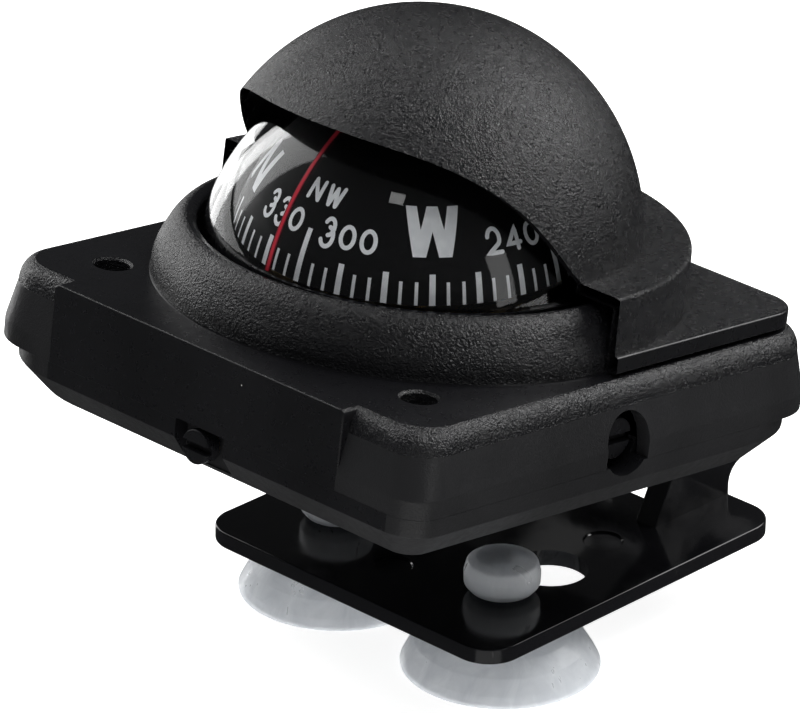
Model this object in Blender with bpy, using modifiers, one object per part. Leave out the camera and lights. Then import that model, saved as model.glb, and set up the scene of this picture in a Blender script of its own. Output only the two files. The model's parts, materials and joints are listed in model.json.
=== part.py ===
"""A dash-mount dome compass on a tilting bracket with two suction cups.

Lengths below are millimetres and angles degrees. The housing has its own frame, "housing",
whose origin is on the dome's axis at the flat top face. That frame is tilted about the hinge
bolt, so the front of the housing is raised. The card hangs in a gimbal inside the capsule
and stays level.
"""

import math

import bmesh
import bpy
from mathutils import Euler, Matrix, Vector

MM = 0.001

# Housing
HALF = 40.9               # half the outer width
TOP_HALF = 37.3           # half the width of the flat top
PARTING_Z = -11.0         # lower edge of the top shell
FLOOR_Z = -17.0           # underside of the lower shell
BEVEL_Z = -13.5           # where the lower shell's bevel starts
BOTTOM_HALF = 38.2
TOP_CORNER = 5.4          # corner radius of the flat top
UPPER_CORNER = 8.8        # corner radius of the top shell's lower edge
LOWER_CORNER = 14.1
FRONT_CORNER = 4.8        # the right front corner, sharper than the other three
BEVEL_CORNER = 3.0        # the bevel's lower edge at that corner
GAP = 0.3                 # running gap between neighbours
MOUNT_PITCH = 28.6        # corner holes, from the centre lines
MOUNT_HOLE_R = 2.45
CASE_SCREW_XY = (33.6, 19.0)

# Dome and capsule
DOME_R = 29.5
DOME_Z = 2.4              # centre of the dome's sphere
DOME_WALL = 1.8
FLANGE_R = 32.8
BOWL_FLOOR_Z = -4.2       # inside of the capsule's floor
BOWL_UNDER_Z = -5.4
CLAMP_SCREW_R = 34.6

# Hood
HOOD_R = 30.2
HOOD_Z = 9.3              # centre of the hood's sphere
HOOD_WALL = 1.15
HOOD_BOSS_R = 37.0
HOOD_PLATE_HALF = 37.6
HOOD_PLATE_Z = (0.5, 2.9)
HOOD_BOSS_Z = 10.9

# Card and gimbal, measured from the gimbal's centre
GIMBAL_Z = 4.0            # height of the gimbal's centre in the housing
CARD_R = 24.4             # the card's face is part of a sphere round the gimbal's centre
CARD_WALL = 0.4
CARD_EDGE_Z = 5.6
CARD_TOP_Z = 21.7
CARD_DIP = 2.1            # the card's right side hangs lower by this angle
CARD_HEADING = 41.4       # clockwise turn of the card from straight ahead

# Compensator shafts, in the housing frame
SHAFT_EW = (2.4, 2.9, -8.2)     # shaft radius, head radius, height
SHAFT_NS = (1.9, 2.4, -13.6)
SHAFT_NS_X = 1.6
POCKET_X = (-2.4, 6.6)    # the pocket round the front head

# Bracket, in a frame whose origin is under the dome's axis at the plate's top face
HOUSING_TILT = -7.45      # rotation about X: the front is raised
HOUSING_HEIGHT = 40.49    # flat top above the plate, at the dome's axis
HINGE_Y = 46.0
HINGE_Z = 12.0
PLATE_HALF_X = 27.7
PLATE_Y = (-12.8, 46.6)
PLATE_T = 2.36
PLATE_CORNER = 5.2
ARM_X = (14.2, 17.8)
EAR_R = 8.0
HINGE_BOLT_R = 2.5
LUG_X = (9.0, 12.8)
LUG_R = 6.5
CUP_XY = (15.7, 2.3)
CUP_RIM_Z = -10.9

# The part's origin is at the middle of its bounding box's base
CENTRE_Y = 5.55

ROUND = 32                # facets of the large turned pieces
MEDIUM = 14
SMALL = 8

COLOURS = {
    "black_textured": ((0.021, 0.021, 0.022), 0.52, 0.0),
    "black_satin": ((0.017, 0.017, 0.018), 0.34, 0.0),
    "black_gloss": ((0.010, 0.010, 0.012), 0.10, 0.0),
    "clear_dome": ((0.90, 0.92, 0.92), 0.04, 0.0),
    "clear_vinyl": ((0.84, 0.85, 0.87), 0.32, 0.0),
    "card_black": ((0.008, 0.008, 0.009), 0.45, 0.0),
    "lubber_red": ((0.70, 0.03, 0.04), 0.35, 0.0),
    "seal_rubber": ((0.03, 0.03, 0.03), 0.70, 0.0),
    "steel": ((0.60, 0.60, 0.62), 0.28, 1.0),
    "brass": ((0.72, 0.52, 0.22), 0.30, 1.0),
    "magnet": ((0.22, 0.22, 0.24), 0.40, 0.6),
    "jewel": ((0.65, 0.08, 0.16), 0.08, 0.0),
    "capsule_plastic": ((0.78, 0.78, 0.76), 0.45, 0.0),
}


def clear_scene():
    for thing in list(bpy.data.objects):
        bpy.data.objects.remove(thing, do_unlink=True)


def new_collection(name):
    group = bpy.data.collections.new(name)
    bpy.context.scene.collection.children.link(group)
    return group


def new_material(name):
    colour, roughness, metallic = COLOURS[name]
    material = bpy.data.materials.new(name)
    material.use_nodes = True
    shader = material.node_tree.nodes["Principled BSDF"]
    shader.inputs["Base Color"].default_value = (*colour, 1.0)
    shader.inputs["Roughness"].default_value = roughness
    shader.inputs["Metallic"].default_value = metallic
    return material


clear_scene()
PARTS = new_collection("dome_compass")
CUTTERS = new_collection("cutters")
MATERIALS = {name: new_material(name) for name in COLOURS}


# ---------------------------------------------------------------- frames

def frame(name, parent=None, at=(0, 0, 0), turn=(0, 0, 0)):
    """An empty at a place in its parent's frame, turned by XYZ angles."""
    empty = bpy.data.objects.new(name, None)
    PARTS.objects.link(empty)
    empty.parent = parent
    empty.location = Vector(at) * MM
    empty.rotation_euler = [math.radians(angle) for angle in turn]
    return empty


def hinge_in_housing():
    """The hinge axis in the housing frame, as (y, z)."""
    lean = Matrix.Rotation(math.radians(-HOUSING_TILT), 2)
    return lean @ Vector((HINGE_Y, HINGE_Z - HOUSING_HEIGHT))


LUG_Y, LUG_Z = hinge_in_housing()
BRACKET = frame("bracket_frame", at=(0, -CENTRE_Y, -CUP_RIM_Z))
TILT = frame("tilt_axis", BRACKET, (0, HINGE_Y, HINGE_Z), (HOUSING_TILT, 0, 0))
HOUSING = frame("housing_frame", TILT, (0, -LUG_Y, -LUG_Z))
GIMBAL = frame("gimbal_pitch_axis", HOUSING, (0, 0, GIMBAL_Z), (-HOUSING_TILT, 0, 0))
YOKE = frame("gimbal_roll_axis", GIMBAL, turn=(0, CARD_DIP, 0))
CARD = frame("card_heading_axis", YOKE, turn=(0, 0, -CARD_HEADING))


# ---------------------------------------------------------------- building blocks

def add(name, mesh, parent, material=None):
    """Puts a mesh in the scene: a part if it has a material, and otherwise a cutter."""
    piece = bpy.data.objects.new(name, mesh)
    piece.parent = parent
    if material:
        PARTS.objects.link(piece)
        mesh.materials.append(MATERIALS[material])
    else:
        CUTTERS.objects.link(piece)
        piece.hide_render = True
        piece.display_type = "WIRE"
    return piece


def finish_mesh(name, bm):
    """Turns a bmesh in millimetres into a mesh in metres."""
    bmesh.ops.recalc_face_normals(bm, faces=bm.faces)
    bmesh.ops.scale(bm, vec=(MM, MM, MM), verts=bm.verts)
    mesh = bpy.data.meshes.new(name)
    bm.to_mesh(mesh)
    bm.free()
    return mesh


def block(name, low, high, parent, material=None, bevel=0.0):
    """A box between two corners."""
    bm = bmesh.new()
    bmesh.ops.create_cube(bm, size=1.0)
    size = [b - a for a, b in zip(low, high)]
    bmesh.ops.scale(bm, vec=size, verts=bm.verts)
    centre = [(a + b) / 2 for a, b in zip(low, high)]
    bmesh.ops.translate(bm, vec=centre, verts=bm.verts)
    piece = add(name, finish_mesh(name, bm), parent, material)
    if bevel:
        edge = piece.modifiers.new("edges", "BEVEL")
        edge.width = bevel * MM
        edge.segments = 1
    return piece


def rod(name, start, end, radius, parent, material=None, sides=MEDIUM, end_radius=None):
    """A cylinder, or a cone, between two points."""
    start, end = Vector(start), Vector(end)
    along = end - start
    bm = bmesh.new()
    bmesh.ops.create_cone(
        bm, cap_ends=True, segments=sides, depth=along.length,
        radius1=radius, radius2=radius if end_radius is None else end_radius,
    )
    turn = Vector((0, 0, 1)).rotation_difference(along)
    place = Matrix.Translation((start + end) / 2) @ turn.to_matrix().to_4x4()
    bmesh.ops.transform(bm, matrix=place, verts=bm.verts)
    mesh = finish_mesh(name, bm)
    mesh.shade_smooth()
    mesh.set_sharp_from_angle(angle=math.radians(40))
    return add(name, mesh, parent, material)


def turned(name, profile, parent, material=None, sides=ROUND, at=(0, 0, 0), ring=False):
    """Turns a profile of (radius, z) points, given down its outer side, about Z."""
    mesh = bpy.data.meshes.new(name)
    points = [(radius * MM, 0.0, z * MM) for radius, z in profile]
    edges = [(i, i + 1) for i in range(len(points) - 1)]
    if ring:
        edges.append((len(points) - 1, 0))
    mesh.from_pydata(points, edges, [])
    piece = add(name, mesh, parent, material)
    piece.location = Vector(at) * MM
    screw = piece.modifiers.new("turn", "SCREW")
    screw.steps = sides
    screw.render_steps = sides
    screw.use_merge_vertices = True
    screw.merge_threshold = 0.00001
    return piece


def arc(radius, centre, start, end, count):
    """Points on an arc in a plane, from one angle to another."""
    angles = [start + (end - start) * i / count for i in range(count + 1)]
    return [
        (centre[0] + radius * math.cos(math.radians(a)),
         centre[1] + radius * math.sin(math.radians(a)))
        for a in angles
    ]


def square_outline(half, corner, near_corner=None, steps=5):
    """A square with round corners in the XY plane; near_corner is the right front radius."""
    radii = [corner, corner, corner, near_corner or corner]
    signs = [(1, 1), (-1, 1), (-1, -1), (1, -1)]
    points = []
    for quarter, (radius, (sign_x, sign_y)) in enumerate(zip(radii, signs)):
        middle = (sign_x * (half - radius), sign_y * (half - radius))
        points += arc(radius, middle, 90 * quarter, 90 * quarter + 90, steps)
    return points


def square_tower(name, levels, parent, material=None):
    """Lofts rounded squares, each (half, z, corner, ...), and caps the first and last."""
    bm = bmesh.new()
    rings = [
        [bm.verts.new((x, y, z)) for x, y in square_outline(half, *radii)]
        for half, z, *radii in levels
    ]
    for lower, upper in zip(rings, rings[1:]):
        for i in range(len(lower)):
            j = (i + 1) % len(lower)
            bm.faces.new((lower[i], lower[j], upper[j], upper[i]))
    bm.faces.new(rings[0])
    bm.faces.new(rings[-1])
    return add(name, finish_mesh(name, bm), parent, material)


def flat_outline(name, points, thickness, parent, material=None, at=(0, 0, 0), turn=(0, 0, 0)):
    """A flat outline, thickened evenly about its plane, as a welded mesh."""
    curve = bpy.data.curves.new(name, "CURVE")
    curve.dimensions = "2D"
    curve.fill_mode = "BOTH"
    curve.extrude = thickness / 2 * MM
    spline = curve.splines.new("POLY")
    spline.points.add(len(points) - 1)
    for point, (x, y) in zip(spline.points, points):
        point.co = (x * MM, y * MM, 0.0, 1.0)
    spline.use_cyclic_u = True
    drawn = bpy.data.objects.new(name + "_outline", curve)
    CUTTERS.objects.link(drawn)
    bpy.context.view_layer.update()
    seen = drawn.evaluated_get(bpy.context.evaluated_depsgraph_get())
    mesh = bpy.data.meshes.new_from_object(seen)
    bpy.data.objects.remove(drawn, do_unlink=True)
    bm = bmesh.new()
    bm.from_mesh(mesh)
    bmesh.ops.remove_doubles(bm, verts=bm.verts, dist=0.000001)
    bmesh.ops.recalc_face_normals(bm, faces=bm.faces)
    bm.to_mesh(mesh)
    bm.free()
    mesh.materials.clear()
    piece = add(name, mesh, parent, material)
    piece.location = Vector(at) * MM
    piece.rotation_euler = Euler([math.radians(angle) for angle in turn])
    return piece


SIDEWAYS = (90, 0, 90)    # turns a flat outline's x, y into Y, Z, thick along X


def combine(piece, operation, *tools):
    for tool in tools:
        step = piece.modifiers.new(tool.name, "BOOLEAN")
        step.operation = operation
        step.solver = "EXACT"
        step.object = tool


def cut(piece, *tools):
    combine(piece, "DIFFERENCE", *tools)


def join(piece, *tools):
    combine(piece, "UNION", *tools)


def corners(x, y):
    return [(sx * x, sy * y) for sx in (-1, 1) for sy in (-1, 1)]


# ---------------------------------------------------------------- bracket and cups

def keyhole(side):
    """The slot under a cup's neck, and the wide hole behind it that its head passes."""
    slot_r, wide_r, wide_y = 2.6, 5.35, CUP_XY[1] + 9.6
    reach = math.degrees(math.asin(slot_r / wide_r))
    points = arc(slot_r, CUP_XY, 180, 360, 6)
    points += arc(wide_r, (CUP_XY[0], wide_y), reach - 90, 270 - reach, 14)
    points = [(side * x, y) for x, y in points]
    return flat_outline(f"keyhole_{side}", points, 4 * PLATE_T, BRACKET, at=(0, 0, -PLATE_T / 2))


def arm_outline():
    """An arm's side: a sloped front edge, a round ear and a filleted rear edge."""
    foot_front, foot_rear, fillet = 31.1, 46.4, 3.0
    root = -PLATE_T / 2
    to_ear = Vector((HINGE_Y - foot_front, HINGE_Z))
    slope = math.degrees(math.atan2(to_ear.y, to_ear.x) + math.asin(EAR_R / to_ear.length))
    fillet_x = foot_rear + fillet
    drop = math.sqrt((EAR_R + fillet) ** 2 - (fillet_x - HINGE_Y) ** 2)
    fillet_z = HINGE_Z - drop
    meet = math.degrees(math.atan2(drop, HINGE_Y - fillet_x))
    points = [(foot_rear, root), (foot_rear, fillet_z)]
    points += arc(fillet, (fillet_x, fillet_z), 180, meet, 4)[1:]
    points += arc(EAR_R, (HINGE_Y, HINGE_Z), meet - 180, slope + 90, 14)[1:]
    points += [(foot_front, 0.0), (foot_front, root)]
    return points


def make_bracket():
    low, high = PLATE_Y
    middle = (low + high) / 2
    half_y = (high - low) / 2
    outline = []
    for quarter, (sign_x, sign_y) in enumerate(((1, 1), (-1, 1), (-1, -1), (1, -1))):
        x = sign_x * (PLATE_HALF_X - PLATE_CORNER)
        y = middle + sign_y * (half_y - PLATE_CORNER)
        outline += arc(PLATE_CORNER, (x, y), 90 * quarter, 90 * quarter + 90, 5)
    under = (0, 0, -PLATE_T / 2)
    plate = flat_outline("bracket", outline, PLATE_T, BRACKET, "black_gloss", at=under)
    arm_middle = (ARM_X[0] + ARM_X[1]) / 2
    for side in (-1, 1):
        arm = flat_outline(
            f"arm_{side}", arm_outline(), ARM_X[1] - ARM_X[0], BRACKET,
            at=(side * arm_middle, 0, 0), turn=SIDEWAYS,
        )
        join(plate, arm)
    bolt_hole = rod(
        "ear_holes", (-30, HINGE_Y, HINGE_Z), (30, HINGE_Y, HINGE_Z), HINGE_BOLT_R + GAP, BRACKET
    )
    window = block("window", (-12.5, 37.0, -9), (12.5, 43.4, 9), BRACKET)
    cut(plate, bolt_hole, window, keyhole(-1), keyhole(1))
    for i, (x, y) in enumerate(((0.0, -2.8), (-15.2, 23.3), (15.2, 23.3))):
        cut(plate, rod(f"round_mark_{i}", (x, y, -0.5), (x, y, 9), 2.8, BRACKET))


def make_cups():
    """A cup: mushroom head, neck in the keyhole, bell and flat rim."""
    profile = [(0, 5.3), (3.6, 5.2), (4.9, 4.5), (5.3, 3.2), (5.2, 1.6), (4.4, 0.5), (2.3, 0.35)]
    profile += [(2.3, -2.7), (4.5, -3.0), (7.6, -4.0), (10.0, -5.5), (11.9, -7.3), (13.2, -9.4)]
    profile += [(13.85, CUP_RIM_Z), (12.9, CUP_RIM_Z)]
    profile += [(12.0, -9.4), (10.0, -7.6), (6.5, -6.0), (0, -5.4)]
    for name, side in (("suction_cup_left", -1), ("suction_cup_right", 1)):
        turned(name, profile, BRACKET, "clear_vinyl", 24, at=(side * CUP_XY[0], CUP_XY[1], 0))


def make_hinge_hardware():
    axis = (HINGE_Y, HINGE_Z)
    outer = ARM_X[1] + GAP
    tip = (outer + 3.6, *axis)
    bolt = rod("hinge_bolt", (-outer, *axis), tip, HINGE_BOLT_R, BRACKET, "steel")
    head = rod("hinge_bolt_head", (-outer - 2.6, *axis), (-outer, *axis), 4.4, BRACKET)
    join(bolt, head)
    nut = rod("hinge_nut", (outer, *axis), (outer + 3.0, *axis), 4.6, BRACKET, "steel", 6)
    cut(nut, rod("nut_bore", (0, *axis), (40, *axis), HINGE_BOLT_R + GAP, BRACKET))
    for name, side in (("hinge_washer_left", -1), ("hinge_washer_right", 1)):
        near, far = side * (LUG_X[1] + GAP), side * (ARM_X[0] - GAP)
        washer = rod(name, (near, *axis), (far, *axis), 6.0, BRACKET, "seal_rubber")
        start, end = (near - 5, *axis), (far + 5, *axis)
        cut(washer, rod(name + "_bore", start, end, HINGE_BOLT_R + GAP, BRACKET))


# ---------------------------------------------------------------- housing shells

def upper_shell_levels():
    """The top shell: rounded shoulder, drafted wall, rim and inside."""
    shoulder_in, shoulder_drop = 2.3, 3.2
    levels = []
    for step in range(4):
        angle = math.radians(30 * step)
        half = TOP_HALF + shoulder_in * math.sin(angle)
        levels.append((half, -shoulder_drop * (1 - math.cos(angle))))
    levels += [(HALF, -8.5), (HALF, PARTING_Z)]
    outside = []
    for half, z in levels:
        out = (half - TOP_HALF) / (HALF - TOP_HALF)
        corner = TOP_CORNER + out * (UPPER_CORNER - TOP_CORNER)
        outside.append((half, z, corner, TOP_CORNER + out * (FRONT_CORNER - TOP_CORNER)))
    inside = [(HALF - 2.0, PARTING_Z, 6.8), (HALF - 2.3, -8.5, 6.5), (37.2, -2.2, 5.2)]
    return outside + inside


def collar_profile():
    """The collar round the dome: lip, textured shoulder, foot and the flange's seat."""
    points = [(29.8, 6.9), (30.5, 7.7), (31.3, 8.1), (32.2, 7.8), (33.4, 6.7), (34.3, 5.0)]
    points += [(35.1, 3.2), (35.4, 1.6), (35.4, -0.6), (36.3, -0.6), (36.3, -3.3)]
    points += [(33.1, -3.3), (33.1, 2.6), (29.8, 2.6)]
    return points


def notch_outline():
    """The arch over the side compensator, open at the shell's edge."""
    return [(4.1, -14.0)] + arc(4.1, (0, SHAFT_EW[2] + 0.3), 0, 180, 8) + [(-4.1, -14.0)]


def make_upper_housing():
    shell = square_tower("upper_housing", upper_shell_levels(), HOUSING, "black_textured")
    opening = rod("collar_hole", (0, 0, -9), (0, 0, 9), 34.6, HOUSING, sides=ROUND)
    collar = turned("collar", collar_profile(), HOUSING, ring=True)
    pad = block("front_pad", (-26.9, -HALF, -8.6), (26.9, -36.2, -0.15), HOUSING, bevel=0.3)
    cut(shell, opening)
    join(shell, collar, pad)
    for i, (x, y) in enumerate(corners(*CASE_SCREW_XY)):
        join(shell, rod(f"post_{i}", (x, y, -14.5), (x, y, -1.5), 2.2, HOUSING, sides=SMALL))
        cut(shell, rod(f"pilot_{i}", (x, y, -18), (x, y, -5.0), 1.1, HOUSING, sides=SMALL))
    for i, (x, y) in enumerate(corners(MOUNT_PITCH, MOUNT_PITCH)):
        cut(shell, rod(f"top_hole_{i}", (x, y, -9), (x, y, 9), MOUNT_HOLE_R, HOUSING))
    for i, (x, y) in enumerate(corners(CLAMP_SCREW_R / math.sqrt(2), CLAMP_SCREW_R / math.sqrt(2))):
        cut(shell, rod(f"clamp_pilot_{i}", (x, y, -6), (x, y, -0.6), 1.0, HOUSING, sides=SMALL))
    arch = flat_outline("side_arch", notch_outline(), 12, HOUSING, at=(HALF, 0, 0), turn=SIDEWAYS)
    head_room = block("front_notch", (POCKET_X[0], -50, -14), (POCKET_X[1], -34, -10.8), HOUSING)
    cut(shell, arch, head_room)


def lug_outline():
    """A hinge lug: from inside the floor and rear wall out to a round end."""
    inside_front, inside_rear = Vector((22.0, -16.4)), Vector((39.6, -12.6))
    centre = Vector((LUG_Y, LUG_Z))

    def tangent(point, turn):
        to_centre = centre - point
        lean = math.asin(LUG_R / to_centre.length)
        return math.degrees(math.atan2(to_centre.y, to_centre.x) + turn * lean)

    lower = tangent(inside_front, -1) - 90
    upper = tangent(inside_rear, 1) + 90
    points = [tuple(inside_front)] + arc(LUG_R, centre, lower, upper, 12)
    return points + [tuple(inside_rear), (38.3, -13.5), (36.2, -16.2)]


def make_lower_housing():
    levels = [(BOTTOM_HALF, FLOOR_Z, LOWER_CORNER, BEVEL_CORNER)]
    levels += [(HALF, z, LOWER_CORNER, FRONT_CORNER) for z in (BEVEL_Z, PARTING_Z - GAP)]
    levels += [(38.2, PARTING_Z - GAP, 12.2)]
    levels += [(38.2, -9.0, 12.2), (36.9, -9.0, 10.9), (36.9, -13.9, 10.9), (35.6, -15.9, 10.5)]
    tray = square_tower("lower_housing", levels, HOUSING, "black_satin")
    for i, (x, y) in enumerate(corners(MOUNT_PITCH, MOUNT_PITCH)):
        join(tray, rod(f"sleeve_{i}", (x, y, -16.5), (x, y, -2.5), 3.5, HOUSING))
    for i, (x, y) in enumerate(corners(*CASE_SCREW_XY)):
        join(tray, rod(f"seat_{i}", (x, y, -16.5), (x, y, -14.8), 3.2, HOUSING, sides=SMALL))
    lug_middle = (LUG_X[0] + LUG_X[1]) / 2
    for side in (-1, 1):
        lug = flat_outline(
            f"lug_{side}", lug_outline(), LUG_X[1] - LUG_X[0], HOUSING,
            at=(side * lug_middle, 0, 0), turn=SIDEWAYS,
        )
        join(tray, lug)
    for i, (x, y) in enumerate(corners(MOUNT_PITCH, MOUNT_PITCH)):
        cut(tray, rod(f"sleeve_hole_{i}", (x, y, -30), (x, y, 9), MOUNT_HOLE_R, HOUSING))
    for i, (x, y) in enumerate(corners(*CASE_SCREW_XY)):
        cut(tray, rod(f"case_hole_{i}", (x, y, -30), (x, y, -9), 1.4, HOUSING, sides=SMALL))
        cut(tray, rod(f"case_recess_{i}", (x, y, -30), (x, y, -15.9), 2.7, HOUSING, sides=SMALL))
    hinge = rod("lug_bore", (-30, LUG_Y, LUG_Z), (30, LUG_Y, LUG_Z), HINGE_BOLT_R + GAP, HOUSING)
    east, south = SHAFT_EW[2], SHAFT_NS[2]
    side_port = rod("side_port", (30, 0, east), (50, 0, east), 4.0, HOUSING)
    front_port = rod(
        "front_port", (SHAFT_NS_X, -50, south), (SHAFT_NS_X, -30, south), SHAFT_NS[0] + GAP, HOUSING
    )
    pocket = block("front_pocket", (POCKET_X[0], -50, -16.3), (POCKET_X[1], -38.5, -11.0), HOUSING)
    cut(tray, hinge, side_port, front_port, pocket)


def make_case_screws():
    for i, (x, y) in enumerate(corners(*CASE_SCREW_XY)):
        name = f"case_screw_{i + 1}"
        screw = rod(name, (x, y, -16.5), (x, y, -6.0), 0.8, HOUSING, "steel", SMALL)
        head = rod(name + "_head", (x, y, -16.9), (x, y, -16.2), 2.4, HOUSING, sides=SMALL)
        join(screw, head)


# ---------------------------------------------------------------- capsule

def make_dome():
    top = DOME_Z + DOME_R
    inner_r = DOME_R - DOME_WALL
    outer = arc(DOME_R, (0, DOME_Z), 90, 0, 7)
    inner = arc(inner_r, (0, DOME_Z), 0, 90, 7)
    profile = [(0.0, top)] + outer[1:] + [(DOME_R, 2.3), (FLANGE_R, 2.3), (FLANGE_R, 0.3)]
    profile += [(inner_r, 0.3)] + inner[:-1] + [(0.0, top - DOME_WALL)]
    turned("dome", profile, HOUSING, "clear_dome")


def make_bowl():
    profile = [(0, BOWL_FLOOR_Z), (26.45, BOWL_FLOOR_Z), (26.45, 6.8), (27.0, 6.8), (27.0, -1.5)]
    profile += [(FLANGE_R, -1.5), (FLANGE_R, -3.3), (DOME_R, -3.3), (DOME_R, BOWL_UNDER_Z)]
    bowl = turned("bowl", profile + [(0, BOWL_UNDER_Z)], HOUSING, "black_satin")
    port = rod("diaphragm_port", (-14, 14, -9), (-14, 14, 0), 4.0, HOUSING)
    filler = rod("filler_hole", (14, 14, -9), (14, 14, 0), 1.8, HOUSING)
    cut(bowl, port, filler)
    rod("diaphragm", (-14, 14, -6.5), (-14, 14, -5.7), 7.0, HOUSING, "seal_rubber")
    cover = rod("diaphragm_cover", (-14, 14, -8.2), (-14, 14, -6.8), 7.4, HOUSING, "capsule_plastic")
    cut(cover, rod("cover_vent", (-14, 14, -9), (-14, 14, -6), 1.2, HOUSING, sides=SMALL))
    plug = rod("filler_plug", (14, 14, -5.9), (14, 14, -4.4), 1.5, HOUSING, "steel", SMALL)
    join(plug, rod("filler_plug_head", (14, 14, -6.9), (14, 14, -5.7), 3.0, HOUSING, sides=SMALL))


def make_capsule_clamp():
    seal = arc(0.6, (31.0, -0.6), 90, -270, 6)[:-1]
    turned("dome_seal", seal, HOUSING, "seal_rubber", 24, ring=True)
    ring = [(35.9, -3.6), (35.9, -5.0), (29.8, -5.0), (29.8, -3.6)]
    clamp = turned("clamp_ring", ring, HOUSING, "black_satin", ring=True)
    spot = CLAMP_SCREW_R / math.sqrt(2)
    for i, (x, y) in enumerate(corners(spot, spot)):
        name = f"clamp_screw_{i + 1}"
        cut(clamp, rod(f"clamp_hole_{i}", (x, y, -7), (x, y, -2), 1.0, HOUSING, sides=SMALL))
        screw = rod(name, (x, y, -5.5), (x, y, -1.2), 0.7, HOUSING, "steel", 8)
        join(screw, rod(name + "_head", (x, y, -6.2), (x, y, -5.3), 1.4, HOUSING, sides=8))


def make_lubber_line():
    """A narrow red strip up the front of the dome."""
    inner, outer = DOME_R + GAP, DOME_R + GAP + 0.25
    points = arc(outer, (0, DOME_Z), 168.5, 95, 12) + arc(inner, (0, DOME_Z), 95, 168.5, 12)
    flat_outline("lubber_line", points, 0.7, HOUSING, "lubber_red", turn=SIDEWAYS)


# ---------------------------------------------------------------- gimbal and card

def make_gimbal():
    base, top = BOWL_FLOOR_Z + GAP, GIMBAL_Z + 1.6
    for name, side in (("gimbal_bearing_left", -1), ("gimbal_bearing_right", 1)):
        near, far = sorted((side * 22.9, side * 25.9))
        post = block(name, (near, -2.2, base), (far, 2.2, top), HOUSING, "capsule_plastic")
        start, end = (near - 3, 0, GIMBAL_Z), (far + 3, 0, GIMBAL_Z)
        cut(post, rod(name + "_bore", start, end, 0.9, HOUSING, sides=SMALL))
    section = [(20, 1.2), (20, -1.2), (18.2, -1.2), (18.2, 1.2)]
    ring = turned("gimbal_ring", section, GIMBAL, "brass", 32, ring=True)
    cut(ring, rod("ring_bore_x", (-30, 0, 0), (30, 0, 0), 0.9, GIMBAL, sides=SMALL))
    cut(ring, rod("ring_bore_y", (0, -30, 0), (0, 30, 0), 0.9, GIMBAL, sides=SMALL))
    for name, side in (("gimbal_pin_left", -1), ("gimbal_pin_right", 1)):
        rod(name, (side * 18.5, 0, 0), (side * 25.5, 0, 0), 0.6, GIMBAL, "steel", 8)
    for name, side in (("gimbal_pin_front", -1), ("gimbal_pin_rear", 1)):
        rod(name, (0, side * 15.0, 0), (0, side * 19.7, 0), 0.6, GIMBAL, "steel", 8)


def make_yoke():
    yoke = block("gimbal_yoke", (-2, -17.6, -1.0), (2, 17.6, 1.0), YOKE, "brass")
    boss = rod("yoke_boss", (0, 0, -1.9), (0, 0, 3.0), 3.5, YOKE)
    stem = rod("yoke_stem", (0, 0, -5.4), (0, 0, -1.5), 1.4, YOKE, sides=SMALL)
    join(yoke, boss, stem)
    cut(yoke, rod("pin_seat", (0, 0, 0), (0, 0, 5), 0.9, YOKE, sides=SMALL))
    for i, side in enumerate((-1, 1)):
        start, end = (0, side * 14.5, 0), (0, side * 22, 0)
        cut(yoke, rod(f"yoke_bore_{i}", start, end, 0.9, YOKE, sides=SMALL))
    section = [(8.5, -2.4), (8.5, -5.6), (1.7, -5.6), (1.7, -2.4)]
    turned("counterweight", section, YOKE, "brass", 24, ring=True)
    needle = [(0, 6.5), (0.12, 6.45), (0.6, 5.2), (0.6, 0.3), (0, 0.3)]
    turned("pivot_pin", needle, YOKE, "steel", SMALL)


def make_card():
    """The card: a spherical zone closed on top, with a hub for the jewel."""
    inner_r = CARD_R - CARD_WALL
    top_angle = math.degrees(math.asin(CARD_TOP_Z / CARD_R))
    edge_angle = math.degrees(math.asin(CARD_EDGE_Z / CARD_R))
    inner_top = math.degrees(math.asin((CARD_TOP_Z - 0.5) / inner_r))
    inner_edge = math.degrees(math.asin(CARD_EDGE_Z / inner_r))
    hub_r, hub_z = 1.9, 8.6
    profile = [(0, CARD_TOP_Z + 0.4)] + arc(CARD_R, (0, 0), top_angle, edge_angle, 5)
    profile += arc(inner_r, (0, 0), inner_edge, inner_top, 5)
    profile += [(hub_r, CARD_TOP_Z - 0.3), (hub_r, hub_z), (1.4, hub_z), (1.4, 10.6), (0, 10.6)]
    turned("compass_card", profile, CARD, "card_black", 28)
    cup = [(0, 10.3), (1.1, 10.3), (1.1, 6.2), (0.9, 6.2), (0.2, 6.8), (0, 6.8)]
    turned("jewel_cup", cup, CARD, "jewel", SMALL)
    spider = [(6.0, 8.3), (6.0, 7.5), (1.4, 7.5), (1.4, 8.3)]
    turned("magnet_carrier", spider, CARD, "capsule_plastic", MEDIUM, ring=True)
    for name, side in (("card_magnet_left", -1), ("card_magnet_right", 1)):
        low, high = sorted((side * 3.8, side * 5.4))
        block(name, (low, -5.0, 5.6), (high, 5.0, 7.2), CARD, "magnet")


# ---------------------------------------------------------------- compensators

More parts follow.
